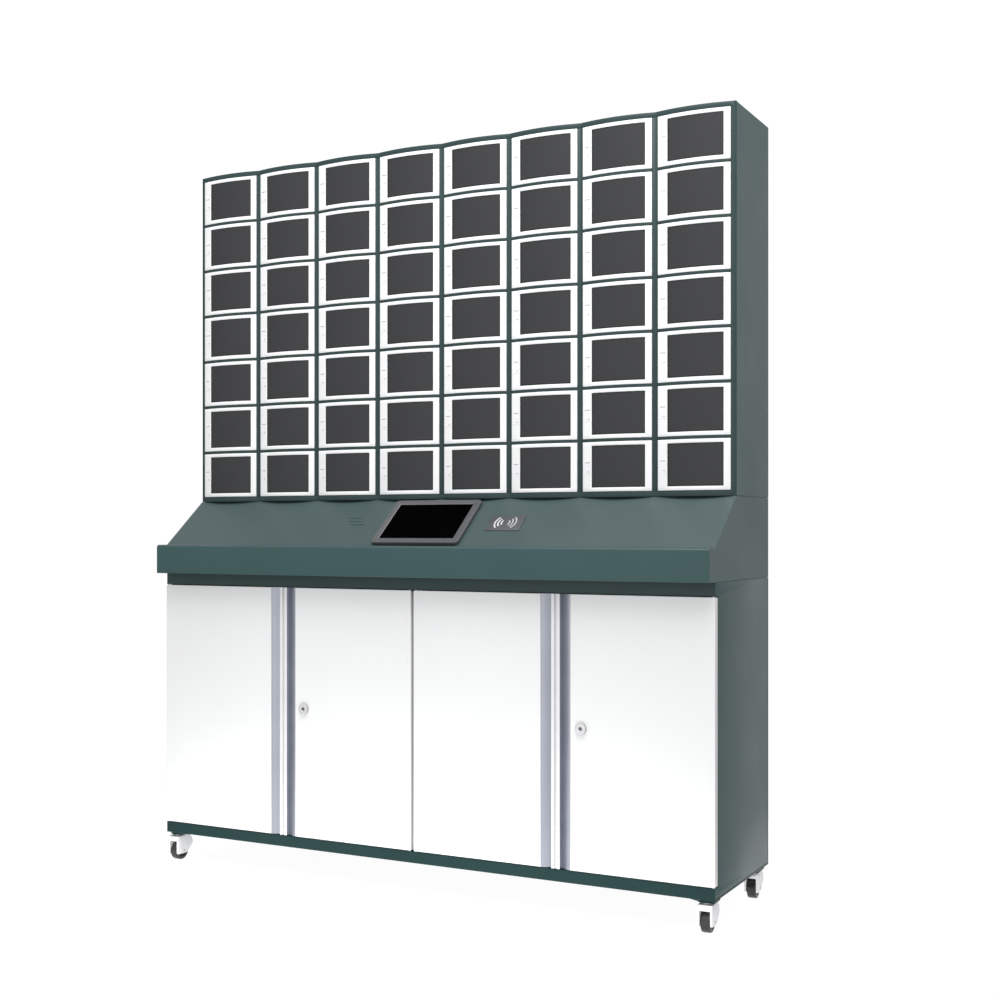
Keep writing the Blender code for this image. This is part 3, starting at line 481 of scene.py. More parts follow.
def make_cabinet():
    """Wrap and front frame of the upper cabinet, bowed at each column."""
    low = SHELL[0].z
    high = SHELL[1].z
    side = HALF - CORNER
    xs = bow_lines(-side, side, (-MOUTH_HALF, MOUTH_HALF))
    shape = bmesh.new()
    ring = bmesh.new()
    add_panel(ring, xs, [low, MOUTH_LOW, MOUTH_HIGH, high], front_y, bowed(SHEET),
              [(-MOUTH_HALF, MOUTH_HALF, MOUTH_LOW, MOUTH_HIGH)])
    soften(ring, FRAME_EDGE,
           choose=lambda edge: min(v.co.y - front_y(v.co.x) for v in edge.verts) < HAIR)
    absorb(shape, ring)
    front = [(x, front_y(x, SHEET)) for x in bow_lines(-side, side)]
    for sign in (-1, 1):
        outer = corner_arc(CORNER, sign)
        add_prism(shape, outer + corner_arc(CORNER - SHEET, sign)[::-1], low, high, "z")
    front = corner_arc(CORNER - SHEET, -1)[::-1] + front + corner_arc(CORNER - SHEET, 1)
    for z_low, z_high in ((low, low + SHEET), (high - SHEET, high)):
        add_prism(shape, front + [(HALF, BACK), (-HALF, BACK)], z_low, z_high, "z")
    edge = UPPER_FRONT + CORNER
    for x_low, x_high in ((-HALF, -HALF + SHEET), (HALF - SHEET, HALF)):
        add_box(shape, (x_low, edge, low + SHEET), (x_high, BACK, high - SHEET))
    # Front-facing faces take the darker frame coat, as painted shade; the sides keep the plain green coat.
    finish("cabinet_wrap", shape, ["paint", "frame"], "cabinet", ["upper_shell"],
           choose=lambda centre, normal: int(normal.y < -0.7))


def make_uprights():
    """Uprights between the columns: a flange that follows the cusp and a web behind it."""
    for index in range(COLUMNS - 1):
        node = f"cell_divider_{index + 1}"
        x = column_middle(index) + COLUMN_PITCH / 2
        low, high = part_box(node)
        xs = [x + FLANGE_HALF * part for part in (-1, -0.5, 0, 0.5, 1)]
        shape = bmesh.new()
        add_panel(shape, xs, [MOUTH_LOW + 0.0003, MOUTH_HIGH - 0.0003], front_y, bowed(SHEET))
        soften(shape, HEM_EDGE)
        web_front = UPPER_FRONT + SHEET + GAP
        add_box(shape, (x - SHEET / 2, web_front, low.z), (x + SHEET / 2, high.y, high.z))
        # The darker frame coat on the flange is painted shade.
        finish(f"cell_upright_{index + 1}", shape, ["frame"], "cabinet", [node])


def make_shelves():
    """Shelves between the rows: eight trays in line, each with a bowed front hem."""
    for row in range(ROWS - 1):
        node = f"cell_shelf_{row + 1}"
        low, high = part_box(node)
        strip_low = door_low(row + 1) + DOOR_HEIGHT + STRIP_GAP
        strip_high = door_low(row) - STRIP_GAP
        shape = bmesh.new()
        for column in range(COLUMNS):
            middle = column_middle(column)
            reach = COLUMN_PITCH / 2
            left = middle - reach + FLANGE_HALF + GAP
            right = middle + reach - FLANGE_HALF - GAP
            strip = bmesh.new()
            xs = spaced(left, right, BOW_STEPS)
            add_panel(strip, xs, [strip_low, strip_high], front_y, bowed(SHEET))
            soften(strip, HEM_EDGE)
            absorb(shape, strip)
            left += TRAY_INSET
            right -= TRAY_INSET
            tray_left = middle - reach + SHEET / 2 + GAP
            tray_right = middle + reach - SHEET / 2 - GAP
            step_y = UPPER_FRONT + SHEET + 0.0003
            outline = [(x, front_y(x, SHEET - GAP)) for x in spaced(left, right, BOW_STEPS)]
            outline += [(right, step_y), (tray_right, step_y), (tray_right, high.y),
                        (tray_left, high.y), (tray_left, step_y), (left, step_y)]
            add_prism(shape, outline, high.z - SHEET, high.z, "z")
        # The darker frame coat on the front hems is painted shade.
        finish(f"cell_tray_{row + 1}", shape, ["frame"], "cabinet", [node])


DOOR_PROUD = 0.001
DOOR_THICK = 0.004
PANE_SINK = 0.0012
PANE_BACK = 0.0030
# Black rims round the panes, painted shade of the recess: wider on the left and below, where the shade falls.
SHADE_RIM_BACK = 0.0034
SHADE_RIM = {"left": 0.0030, "right": 0.0009, "low": 0.0024, "high": 0.0009}
PLATE_LEFT = 0.0030
PLATE_GAP = 0.0028
PLATE_DROP = 0.0440
PLATE_HEIGHT = 0.0350
PLATE_PROUD = 0.0004
MARK_RIGHT = 0.0018
MARK_PROUD = 0.00055
MARKS = ((0.0145, 0.0062, 0.0016), (0.0080, 0.0290, 0.0011))  # width, distance below the top, thickness
FRONT = -DOOR_PROUD


def add_label(plates, marks, left, right, high):
    """A raised label plate on a door's wide border, with two short marks printed on it."""
    add_panel(plates, spaced(left, right, 4), [high - PLATE_HEIGHT, high],
              bowed(FRONT - PLATE_PROUD), bowed(FRONT + 0.0003))
    mark_right = right - MARK_RIGHT
    for width, down, thick in MARKS:
        add_panel(marks, spaced(mark_right - width, mark_right, 3), [high - down - thick, high - down],
                  bowed(FRONT - MARK_PROUD), bowed(FRONT - 0.0003))


def make_doors(column, rows, body, node, tag):
    """White bowed door frames, their smoked panes, black rims round the panes that are painted shade of the
    recess, and label plates.
    """
    left = column_middle(column) - DOOR_WIDTH / 2
    right = left + DOOR_WIDTH
    pane_left = left + WINDOW_LEFT
    pane_right = pane_left + WINDOW_WIDTH
    frames, panes, shade_rims, plates, marks = (bmesh.new() for _ in range(5))
    xs = spaced(left, pane_left, 4)[:-1] + spaced(pane_left, pane_right, 16)
    xs += spaced(pane_right, right, 3)[1:]
    inner_left = pane_left + SHADE_RIM["left"]
    inner_right = pane_right - SHADE_RIM["right"]
    shade_rim_xs = [pane_left + HAIR] + spaced(inner_left, inner_right, 16) + [pane_right - HAIR]
    for row in rows:
        low = door_low(row)
        high = low + DOOR_HEIGHT
        sill = low + WINDOW_BOTTOM
        head = sill + WINDOW_HEIGHT
        inner_low = sill + SHADE_RIM["low"]
        inner_high = head - SHADE_RIM["high"]
        add_panel(frames, xs, [low, sill, head, high], bowed(FRONT), bowed(FRONT + DOOR_THICK),
                  [(pane_left, pane_right, sill, head)])
        # Black rim round the pane, painted shade of the recess.
        add_panel(shade_rims, shade_rim_xs, [sill + HAIR, inner_low, inner_high, head - HAIR],
                  bowed(FRONT + PANE_SINK - 0.0003), bowed(FRONT + SHADE_RIM_BACK),
                  [(inner_left, inner_right, inner_low, inner_high)])
        add_panel(panes, spaced(inner_left + HAIR, inner_right - HAIR, 16),
                  [inner_low + HAIR, inner_high - HAIR],
                  bowed(FRONT + PANE_SINK), bowed(FRONT + PANE_BACK))
        add_label(plates, marks, left + PLATE_LEFT, pane_left - PLATE_GAP, high - PLATE_DROP)
    soften(frames, 0.0007)
    soften(panes, 0.0003, 1)
    soften(plates, 0.0002, 1)
    finish(f"{tag}_frame", frames, ["door"], body, [node])
    finish(f"{tag}_pane", panes, ["window"], body)
    finish(f"{tag}_gasket", shade_rims, ["shade_rim"], body)
    finish(f"{tag}_label", plates, ["label"], body)
    finish(f"{tag}_mark", marks, ["mark"], body)


def make_all_doors():
    for column in range(COLUMNS - 1):
        number = column + 1
        make_doors(column, range(ROWS), f"bank_{number}", f"door_bank_{number}", f"bank_{number}")
    for row in range(ROWS):
        number = row + 1
        make_doors(COLUMNS - 1, [row], f"cell_{number}", f"cell_door_{number}", f"cell_{number}")


# ---------------------------------------------------------------- console

LEDGE_HIGH = 0.8800
LEDGE_BACK = UPPER_FRONT - 0.1500
SLOPE = math.atan2(CONSOLE[1].z - LEDGE_HIGH, UPPER_FRONT - LEDGE_BACK)


def on_slope(x, down, lift=0.0):
    """A matrix whose origin is on the console's slope, with Z standing off it and Y up it."""
    point = (x, UPPER_FRONT - down * math.cos(SLOPE), CONSOLE[1].z - down * math.sin(SLOPE))
    return Matrix.Translation(point) @ Matrix.Rotation(SLOPE, 4, "X") @ Matrix.Translation((0, 0, lift))


SPEAKER_X = -0.2200
SPEAKER_DOWN = 0.0930
SPEAKER_REACH = (0.05, 0.03)
SLOT_SIZE = (0.042, 0.0030)
SLOT_DEPTH = 0.0008
SLOT_PITCH = 0.014
SLOT_STAGGER = 0.010


def make_console():
    """The console's body with its slope, ledge, rounded front edge and speaker slots."""
    low, high = CONSOLE
    corners = [(high.y, low.z), (high.y, high.z), (UPPER_FRONT, high.z), (LEDGE_BACK, LEDGE_HIGH),
               (low.y, LEDGE_HIGH), (low.y, low.z)]
    outline = round_corners(corners, [0, 0, 0, 0.006, 0.007, 0.003], 6)
    shape = bmesh.new()
    add_prism(shape, outline, low.x, high.x, "x")
    soften(shape, 0.0011, least=60.0)
    slots = bmesh.new()
    matrix = on_slope(SPEAKER_X, SPEAKER_DOWN)
    for row in (-1, 0, 1):
        slot = bmesh.new()
        add_prism(slot, rounded(*SLOT_SIZE, SLOT_SIZE[1] / 2 - HAIR, 3), -SLOT_DEPTH, 0.003, "z")
        shift = Matrix.Translation((-row * SLOT_STAGGER, row * SLOT_PITCH, 0))
        absorb(slots, slot, matrix @ shift)
    shape = carved(shape, slots)

    # Upward faces in front of the cabinet, outside the speaker slots, take the lighter slope coat: painted
    # sheen.
    def coat(centre, normal):
        local = matrix.inverted() @ centre
        by_speaker = abs(local.x) < SPEAKER_REACH[0] and abs(local.y) < SPEAKER_REACH[1]
        in_slot = by_speaker and -0.005 < local.z < -GAP
        return int(normal.z > 0.5 and centre.y < UPPER_FRONT and not in_slot)

    finish("console_body", shape, ["paint", "slope"], "cabinet", ["console_shell"],
           angle=20.0, choose=coat)


SCREEN_X = 0.0015
SCREEN_DOWN = 0.1018
SCREEN_SIZE = (0.2575, 0.1755)
SCREEN_RADIUS = 0.012
GLASS_SIZE = (0.218, 0.138)
GLASS_RADIUS = 0.002


def make_screen():
    """Screen housing with rounded outer edges and a bevel down to its glass."""
    loops = []
    outside = ((0.0004, 0.0008), (0.0014, 0.0), (0.0074, 0.0), (0.0086, 0.0004), (0.0094, 0.0015))
    for z, inset in outside:
        size = [side - 2 * inset for side in SCREEN_SIZE]
        loops.append(at_height(rounded(*size, SCREEN_RADIUS - inset, 8), z))
    for z, outset in ((0.0094, 0.0020), (0.0088, 0.0010), (0.0080, 0.0003), (0.0056, 0.0003)):
        size = [side + 2 * outset for side in GLASS_SIZE]
        loops.append(at_height(rounded(*size, GLASS_RADIUS + outset, 8), z))
    matrix = on_slope(SCREEN_X, SCREEN_DOWN)
    shape = bmesh.new()
    add_loft(shape, loops)
    bmesh.ops.transform(shape, matrix=matrix, verts=shape.verts)

    # Faces of the bevel round the glass take the paler coat, a painted highlight.
    def on_bevel(centre, normal):
        local = matrix.inverted() @ centre
        inner = all(abs(at) < size / 2 + 0.0021 for at, size in zip(local.xy, GLASS_SIZE))
        return int(inner and local.z > 0.006)

    finish("screen_frame", shape, ["case", "bevel"], "cabinet", ["screen_housing"],
           choose=on_bevel)
    pane = bmesh.new()
    add_soft_prism(pane, rounded(*GLASS_SIZE, GLASS_RADIUS, 4), 0.0058, 0.0084, "z", 0.0004, matrix)
    finish("screen_pane", pane, ["glass"], "cabinet", ["screen_glass"])


READER_X = 0.2283
READER_DOWN = 0.1003
READER_SIZE = (0.097, 0.0626)
READER_TOP = 0.0016
WAVE_RADII = (0.0110, 0.0200, 0.0290)
WAVE_STROKE = 0.0040
WAVE_SPREAD = 44.0


def make_reader():
    """Card reader: a thin plate with two mirrored sets of wave arcs."""
    matrix = on_slope(READER_X, READER_DOWN)
    plate = bmesh.new()
    add_soft_prism(plate, rounded(*READER_SIZE, 0.002, 3), 0.0004, READER_TOP, "z", 0.0005, matrix)
    finish("reader_plate", plate, ["reader"], "cabinet", ["card_reader"])
    waves = bmesh.new()
    spread = math.radians(WAVE_SPREAD)
    angles = spaced(-spread, spread, 12)
    half = WAVE_STROKE / 2
    for index, sign in enumerate((-1, 1)):
        for middle in WAVE_RADII:
            outline = []
            for radius, turns in ((middle + half, angles), (middle - half, angles[::-1])):
                outline += [(sign * radius * math.cos(a), radius * math.sin(a)) for a in turns]
            part = bmesh.new()
            add_prism(part, outline, READER_TOP - 0.0003, READER_TOP + GAP, "z")
            absorb(waves, part, matrix, index)
    finish("reader_waves", waves, ["white_print", "grey_print"], "cabinet")


# ---------------------------------------------------------------- base

CASTER_POINTS = {"front_left": (-HALF + 0.022, -0.1470), "front_right": (HALF - 0.028, -0.1470),
                 "rear_left": (-HALF + 0.028, 0.1945), "rear_right": (HALF - 0.028, 0.1945)}
PAD_TOP = 0.066
PAD_FOOT = 0.042
PAD_LOW = 0.0700
BAND_LIP = 0.014
SIDE_HEM = 0.0060
SIDE_STEP = 0.7700  # above it the side reaches forward to the band


def add_pad(tray, x, y, low, high):
    """A caster pad that tapers to a foot over the caster and stays inside the tray."""
    limit = high.x - PAD_TOP / 2 - 0.001
    middle_x = math.copysign(min(abs(x), limit), x)
    middle_y = min(max(y, low.y + PAD_TOP / 2), high.y - PAD_TOP / 2)
    loops = []
    for size, z, centre_x, centre_y in ((PAD_TOP, PLINTH_HIGH - 0.003, middle_x, middle_y),
                                        (PAD_TOP, PLINTH_LOW, middle_x, middle_y),
                                        (PAD_TOP - 0.006, PLINTH_LOW - 0.0022, middle_x, middle_y),
                                        (PAD_FOOT + 0.002, PAD_LOW + 0.0016, x, y),
                                        (PAD_FOOT, PAD_LOW, x, y)):
        ring = rounded(size, size, size * 0.16, 4)
        loops.append([(u + centre_x, v + centre_y, z) for u, v in ring])
    pad = bmesh.new()
    add_loft(pad, loops)
    absorb(tray, pad)


def make_tray():
    """Plinth tray with its caster pads. Returns the y of its front face, which the band shares."""
    low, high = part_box("base_floor")
    tray = bmesh.new()
    front = low.y
    rear = high.y
    outline = [(front, PLINTH_LOW), (front + SHEET, PLINTH_LOW), (front + SHEET, PLINTH_HIGH - SHEET),
               (rear - SHEET, PLINTH_HIGH - SHEET), (rear - SHEET, PLINTH_LOW), (rear, PLINTH_LOW),
               (rear, PLINTH_HIGH), (front, PLINTH_HIGH)]
    add_soft_prism(tray, outline, low.x, high.x, "x", EDGE)
    for x, y in CASTER_POINTS.values():
        add_pad(tray, x, y, low, high)
    finish("base_tray", tray, ["plinth"], "cabinet", ["base_floor"], angle=20.0)
    return front


def make_band(front):
    """The band under the console, with a lip turned back at its foot."""
    low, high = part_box("base_top")
    back_of_front = front + SHEET
    band = bmesh.new()
    outline = [(front, low.z), (front + BAND_LIP, low.z), (front + BAND_LIP, low.z + SHEET),
               (back_of_front, low.z + SHEET), (back_of_front, high.z - SHEET), (high.y, high.z - SHEET),
               (high.y, high.z), (front, high.z)]
    add_soft_prism(band, outline, low.x, high.x, "x", EDGE)
    # The darker band coat is painted shade under the console's lip.
    finish("base_band", band, ["band"], "cabinet", ["base_top"], angle=20.0)


def make_side_panels():
    """Side panels, each with a darker hem along its foot and rear edge."""
    for name in ("left", "right"):
        low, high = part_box(f"base_side_{name}")
        panel = bmesh.new()
        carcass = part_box("base_divider")[0].y
        foot = low.z + SIDE_HEM
        rear = high.y - SIDE_HEM
        main = [(rear, foot), (rear, high.z), (low.y, high.z), (low.y, SIDE_STEP), (carcass, SIDE_STEP),
                (carcass, PLINTH_HIGH), (low.y, PLINTH_HIGH), (low.y, foot)]
        add_soft_prism(panel, main, low.x, high.x, "x", 0.0003)
        hem = [(low.y, low.z), (high.y, low.z), (high.y, high.z), (rear + GAP, high.z),
               (rear + GAP, foot - GAP), (low.y, foot - GAP)]
        add_soft_prism(panel, hem, low.x, high.x, "x", EDGE, None, 1)
        finish(f"base_panel_{name}", panel, ["paint", "frame"], "cabinet",
               [f"base_side_{name}"])


BOARD_RADIUS = 0.0030  # at the hinged side; the meeting side is sharper
BOARD_CORNER = 0.0012
PIN_INSET = 0.005
LOCK_HIGH = 0.4495
LOCK_HOLE = 0.0102


def make_boards():
    """Storage doors: white boards with rounded edges, pivot pins and a lock hole in two of them."""
    for number in (1, 2, 3, 4):
        low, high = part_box(f"base_door_{number}")
        board = bmesh.new()
        corners = [(low.x, low.z), (high.x, low.z), (high.x, high.z), (low.x, high.z)]
        hinged_left = number in (1, 3)
        radii = [BOARD_RADIUS if (index in (0, 3)) == hinged_left else BOARD_CORNER for index in range(4)]
        add_prism(board, round_corners(corners, radii, 4), low.y, high.y, "y")
        soften(board, 0.0010, least=60.0)
        if number in (2, 4):
            hole = bmesh.new()
            centre = ((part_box(f"cam_lock_{number}")[0].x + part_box(f"cam_lock_{number}")[1].x) / 2, LOCK_HIGH)
            add_prism(hole, circle(LOCK_HOLE, 32, centre), low.y - 0.01, high.y + 0.01, "y")
            board = carved(board, hole)
        pin_x = low.x + PIN_INSET if hinged_left else high.x - PIN_INSET
        for z_low, z_high in ((low.z - 0.0018, low.z + 0.004), (high.z - 0.004, high.z + 0.0018)):
            profile = [(0, z_low), (0.0026, z_low), (0.0030, z_low + 0.0004), (0.0030, z_high - 0.0004),
                       (0.0026, z_high), (0, z_high)]
            add_turned(board, profile, 16, Matrix.Translation((pin_x, low.y + PIN_INSET, 0)), 1)
        finish(f"storage_board_{number}", board, ["board", "zinc"], f"storage_door_{number}",
               [f"base_door_{number}"], angle=20.0)


PROFILE_WIDTH = 0.0366
PROFILE_LIP = 0.0086
SCOOP_DEPTH = 0.0120
SCOOP_RIM = 0.0008
SCOOP_FULLNESS = 1.3
SCOOP_STEPS = 16
TONGUE_REACH = 0.0050
TONGUE_FRONT = 0.0030
TONGUE_THICK = 0.0025


def handle_outline(has_tongue, thick):
    """Plan of the handle: u inward from the meeting edge, v back from the door's front."""
    scoop_width = PROFILE_WIDTH - 0.0012 - PROFILE_LIP
    points = [(0.0, 0.0007), (0.0002, 0.0002), (0.0007, 0.0), (PROFILE_LIP - 0.0007, 0.0),
              (PROFILE_LIP - 0.0002, 0.0002), (PROFILE_LIP, 0.0007)]
    for step in range(SCOOP_STEPS + 1):
        part = step / SCOOP_STEPS
        fall = (1 - part) ** 2 * (1 + SCOOP_FULLNESS * part)
        points.append((PROFILE_LIP + scoop_width * part, SCOOP_RIM + (SCOOP_DEPTH - SCOOP_RIM) * fall))
    points += [(PROFILE_WIDTH - 0.0008, 0.0003), (PROFILE_WIDTH, 0.0004), (PROFILE_WIDTH, thick),
               (0.0, thick)]
    if has_tongue:
        rear = TONGUE_FRONT + TONGUE_THICK
        points += [(0.0, rear), (-TONGUE_REACH, rear), (-TONGUE_REACH, TONGUE_FRONT + 0.0003),
                   (-TONGUE_REACH + 0.0003, TONGUE_FRONT), (0.0, TONGUE_FRONT)]
    return points


def make_handles():
    """Extruded handle profiles: a bright lip, a blue-grey finger scoop and a tongue over the gap."""
    for number in (1, 2, 3, 4):
        node = f"door_handle_{number}"
        low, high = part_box(node)
        has_tongue = number in (2, 4)
        inward = 1 if has_tongue else -1
        meeting = low.x + TONGUE_REACH if has_tongue else high.x
        outline = handle_outline(has_tongue, high.y - low.y)
        shape = bmesh.new()
        add_prism(shape, [(meeting + inward * u, low.y + v) for u, v in outline], low.z, high.z, "z")

        def part_of(centre, normal, meeting=meeting, inward=inward, front=low.y):
            u = (centre.x - meeting) * inward
            v = centre.y - front
            if u < -1e-5 and abs(normal.z) < 0.5:
                return 2
            in_scoop = PROFILE_LIP - 1e-5 < u < PROFILE_WIDTH - 0.0006 and v < 0.0175
            return int(in_scoop and abs(normal.z) < 0.5 and v > 0.0005)

        finish(f"handle_profile_{number}", shape, ["profile", "scoop", "tongue"],
               f"storage_door_{number}", [node], angle=40.0, choose=part_of)


RIM_RADIUS = 0.0133
CAM_HALF = 0.008
CAM_THICK = 0.0025


def make_locks():
    """Cam locks: a bevelled head with a sunk plug and key slot, a shank, a nut and a cam."""
    for number in (2, 4):
        node = f"cam_lock_{number}"
        low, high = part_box(node)
        x = (low.x + high.x) / 2
        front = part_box(f"base_door_{number}")[0].y
        matrix = Matrix.Translation((x, front, LOCK_HIGH)) @ Matrix.Rotation(math.pi / 2, 4, "X")
        lock = bmesh.new()
        head = [(0, 0.0050), (0.0048, 0.0050), (0.0050, 0.0058), (0.0054, 0.0062), (0.0060, 0.0064),
                (0.0126, 0.0064), (0.0135, 0.0060), (0.0140, 0.0051), (0.0140, 0.0004),
                (0.0096, 0.0004), (0.0096, -0.0182), (0, -0.0182)]
        add_turned(lock, head, 40, matrix)
        for face in lock.faces:
            out = face.calc_center_median() - Vector((x, 0, LOCK_HIGH))
            face.material_index = 3 if math.hypot(out.x, out.z) > RIM_RADIUS else 0
        plug = [(0, 0.0049), (0.0044, 0.0049), (0.0044, 0.0054), (0.0040, 0.0057), (0, 0.0057)]
        add_turned(lock, plug, 32, matrix, 1)
        # The key slot is a black bar on the plug face, painted shade of the keyway.
        slot = rounded(0.0016, 0.0066, 0.0006, 3)
        add_soft_prism(lock, slot, 0.0050, 0.0060, "z", 0.0002, matrix, 2)
        add_turned(lock, [(0.0097, -0.0186), (0.0128, -0.0186), (0.0132, -0.0190), (0.0132, -0.0196),
                          (0.0097, -0.0196)], 6, matrix)
        cam = round_corners([(x - CAM_HALF, low.z), (x + CAM_HALF, low.z), (x + CAM_HALF, high.z),
                             (x - CAM_HALF, high.z)], [0.004, 0.004, 0.006, 0.006], 5)
        add_soft_prism(lock, cam, high.y - CAM_THICK, high.y, "y", 0.0004)
        bolt = Matrix.Translation((x, high.y - 0.0004, LOCK_HIGH))
        bolt = bolt @ Matrix.Rotation(-math.pi / 2, 4, "X")
        finish(f"lock_body_{number}", lock, ["chrome", "plug", "black", "rim"], f"lock_{number}",
               [node])
        screw = bmesh.new()
        add_turned(screw, [(0, -0.0003), (0.0042, -0.0003), (0.0042, 0.0002), (0, 0.0003)], 6, bolt)
        finish(f"lock_screw_{number}", screw, ["zinc"], f"lock_{number}")


# ---------------------------------------------------------------- casters

CASTER_TURNS = {"front_left": 178, "front_right": 183, "rear_left": 176, "rear_right": 184}
TRAIL = 0.008
WHEEL_RADIUS = 0.025
WHEEL_HALF = 0.0115
CHEEK_IN = 0.0123
CHEEK_OUT = 0.0180


def make_fork(corner, matrix, axle):
    """A swivel fork: a turned crown, two cheeks, a hood over the wheel and the axle bolt."""
    fork = bmesh.new()
    crown = [(0, 0.0640), (0.0150, 0.0640), (0.0172, 0.0652), (0.0176, 0.0664), (0.0170, 0.0672),
             (0.0184, 0.0680), (0.0190, 0.0688), (0.0186, 0.0696), (0, 0.0696)]
    add_turned(fork, crown, 40, matrix)
    cheek = [(-0.028, 0.041), (-0.004, 0.018), (0.034, 0.018), (0.034, 0.0676), (-0.015, 0.0676),
             (-0.025, 0.055)]
    cheek = round_corners(cheek, [0.010, 0.010, 0.005, 0.006, 0.004, 0.006], 5)
    for inner, outer in ((-CHEEK_OUT, -CHEEK_IN), (CHEEK_IN, CHEEK_OUT)):
        add_soft_prism(fork, cheek, inner, outer, "x", 0.0014, matrix)
    hood = [(0.0338, 0.0536), (0.0338, 0.0610), (0.0290, 0.0672), (-0.0150, 0.0672),
            (-0.0210, 0.0600), (-0.0180, 0.0536)]
    hood = round_corners(hood, [0.001, 0.004, 0.003, 0.003, 0.003, 0.001], 4)
    add_soft_prism(fork, hood, -CHEEK_OUT + 0.0004, CHEEK_OUT - 0.0004, "x", 0.0012, matrix)
    reach = CHEEK_OUT + 0.0012
    bolt = [(0, -reach), (0.0026, -reach), (0.0032, -reach + 0.0005), (0.0032, -CHEEK_IN),
            (0.0029, -CHEEK_IN), (0.0029, CHEEK_IN), (0.0032, CHEEK_IN), (0.0032, reach - 0.0005),
            (0.0026, reach), (0, reach)]
    add_turned(fork, bolt, 20, axle, 1)
    finish(f"fork_{corner}", fork, ["fork", "zinc"], f"swivel_{corner}",
           [f"caster_fork_{corner}"])


def make_wheel(corner, axle):
    """A wheel: a tread with rounded shoulders and a dished hub."""
    wheel = bmesh.new()
    r = WHEEL_RADIUS
    half = WHEEL_HALF
    tread = [(0.0168, -half + 0.0004), (0.0172, -half), (r - 0.0032, -half), (r - 0.0012, -half + 0.0008),
             (r - 0.0003, -half + 0.0026), (r, -half + 0.0050), (r, half - 0.0050),
             (r - 0.0003, half - 0.0026), (r - 0.0012, half - 0.0008), (r - 0.0032, half),
             (0.0172, half), (0.0168, half - 0.0004)]
    add_turned(wheel, tread, 56, axle)
    disc = half - 0.0022
    hub = [(0.0036, -half + 0.0004), (0.0068, -half + 0.0004), (0.0074, -disc), (0.0150, -disc),
           (0.0169, -half + 0.0008), (0.0169, half - 0.0008), (0.0150, disc), (0.0074, disc),
           (0.0068, half - 0.0004), (0.0036, half - 0.0004)]
    add_turned(wheel, hub, 40, axle, 1)
    finish(f"wheel_{corner}", wheel, ["tread", "black"], f"roller_{corner}",
           [f"caster_wheel_{corner}"])


def make_casters():
    for corner, (x, y) in CASTER_POINTS.items():
        turn = Matrix.Rotation(math.radians(CASTER_TURNS[corner]), 4, "Z")
        matrix = Matrix.Translation((x, y, 0)) @ turn
        axle = Matrix.Translation((0, TRAIL, WHEEL_RADIUS)) @ Matrix.Rotation(math.pi / 2, 4, "Y")
        make_fork(corner, matrix, matrix @ axle)
        make_wheel(corner, matrix @ axle)


# ---------------------------------------------------------------- details inside and behind

SOCKET_SIZE = (0.046, 0.028)
SOCKET_HIGH = 0.045
PORT_SIZE = (0.014, 0.006)
MAT_SIZE = (0.150, 0.150)
MAT_THICK = 0.0012
MAT_MIDDLE = 0.092
MAT_DROP = 0.0016  # from the door's foot down to the mat's underside
SCREW_X = 0.785
SCREW_ROWS = (1.012, 1.923, 0.092, 0.790)
SCREW_COUNT = 9
SCREW_SIDES = (1.24, 1.47, 1.70, 0.27, 0.44, 0.62)


def make_cell_fittings():
    """A socket plate and a rubber mat in each cell."""
    plates = bmesh.new()
    mats = bmesh.new()
    for column in range(COLUMNS):
        x = column_middle(column)
        for row in range(ROWS):
            z = door_low(row)
            face = Matrix.Translation((x, LINER_FRONT, z + SOCKET_HIGH))
            face = face @ Matrix.Rotation(-math.pi / 2, 4, "X")
            plate = bmesh.new()
            add_prism(plate, rounded(*SOCKET_SIZE, 0.003, 3), -0.0016, 0.0, "z")
            absorb(plates, plate, face)
            port = bmesh.new()
            add_prism(port, rounded(*PORT_SIZE, 0.001, 2), -0.0018, -0.0004, "z")
            absorb(plates, port, face, 1)
            mat = bmesh.new()
            add_prism(mat, rounded(*MAT_SIZE, 0.008, 3), 0.0, MAT_THICK, "z")
            absorb(mats, mat, Matrix.Translation((x, UPPER_FRONT + MAT_MIDDLE, z - MAT_DROP)))
    finish("cell_socket_plates", plates, ["hub", "slit"], "cabinet")
    finish("cell_mats", mats, ["slit"], "cabinet")


def make_screws():
    """Pan-head screws round the rear panels."""
    shape = bmesh.new()
    points = [(x, z) for z in SCREW_ROWS for x in spaced(-SCREW_X, SCREW_X, SCREW_COUNT - 1)]
    points += [(x, z) for x in (-SCREW_X, SCREW_X) for z in SCREW_SIDES]
    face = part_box("base_back")[1].y
    head = [(0, 0.0014), (0.0009, 0.0014), (0.0012, 0.0008), (0.0016, 0.0014), (0.0030, 0.0011),
            (0.0038, 0.0006), (0.0040, 0.0), (0.0, -0.0004)]
    for x, z in points:
        matrix = Matrix.Translation((x, face, z)) @ Matrix.Rotation(-math.pi / 2, 4, "X")
        add_turned(shape, head, 14, matrix)
    finish("rear_screws", shape, ["zinc"], "cabinet")


# ---------------------------------------------------------------- carried-over CAD nodes

def paint_node(node, key):
    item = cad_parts[node]
    item.data.materials.clear()
    item.data.materials.append(FINISHES[key])


def paint_nodes():
    """Finish of every CAD node; most are stood for by pieces."""
    keys = {"upper_back": "paint", "charging_panel": "liner", "screen_housing": "case",
            "screen_glass": "glass", "card_reader": "reader", "power_supply": "zinc",
            "base_back": "paint", "base_divider": "liner", "mains_inlet": "black"}
    starts = {"base_door": "board", "door_handle": "profile", "cam_lock": "chrome",
              "caster_fork": "fork", "caster_wheel": "tread", "cell_shelf": "frame",
              "cell_divider": "frame", "door_bank": "door", "cell_door": "door"}
    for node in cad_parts:
        begun = next((value for start, value in starts.items() if node.startswith(start)), "paint")
        paint_node(node, keys.get(node, begun))


# ---------------------------------------------------------------- stage

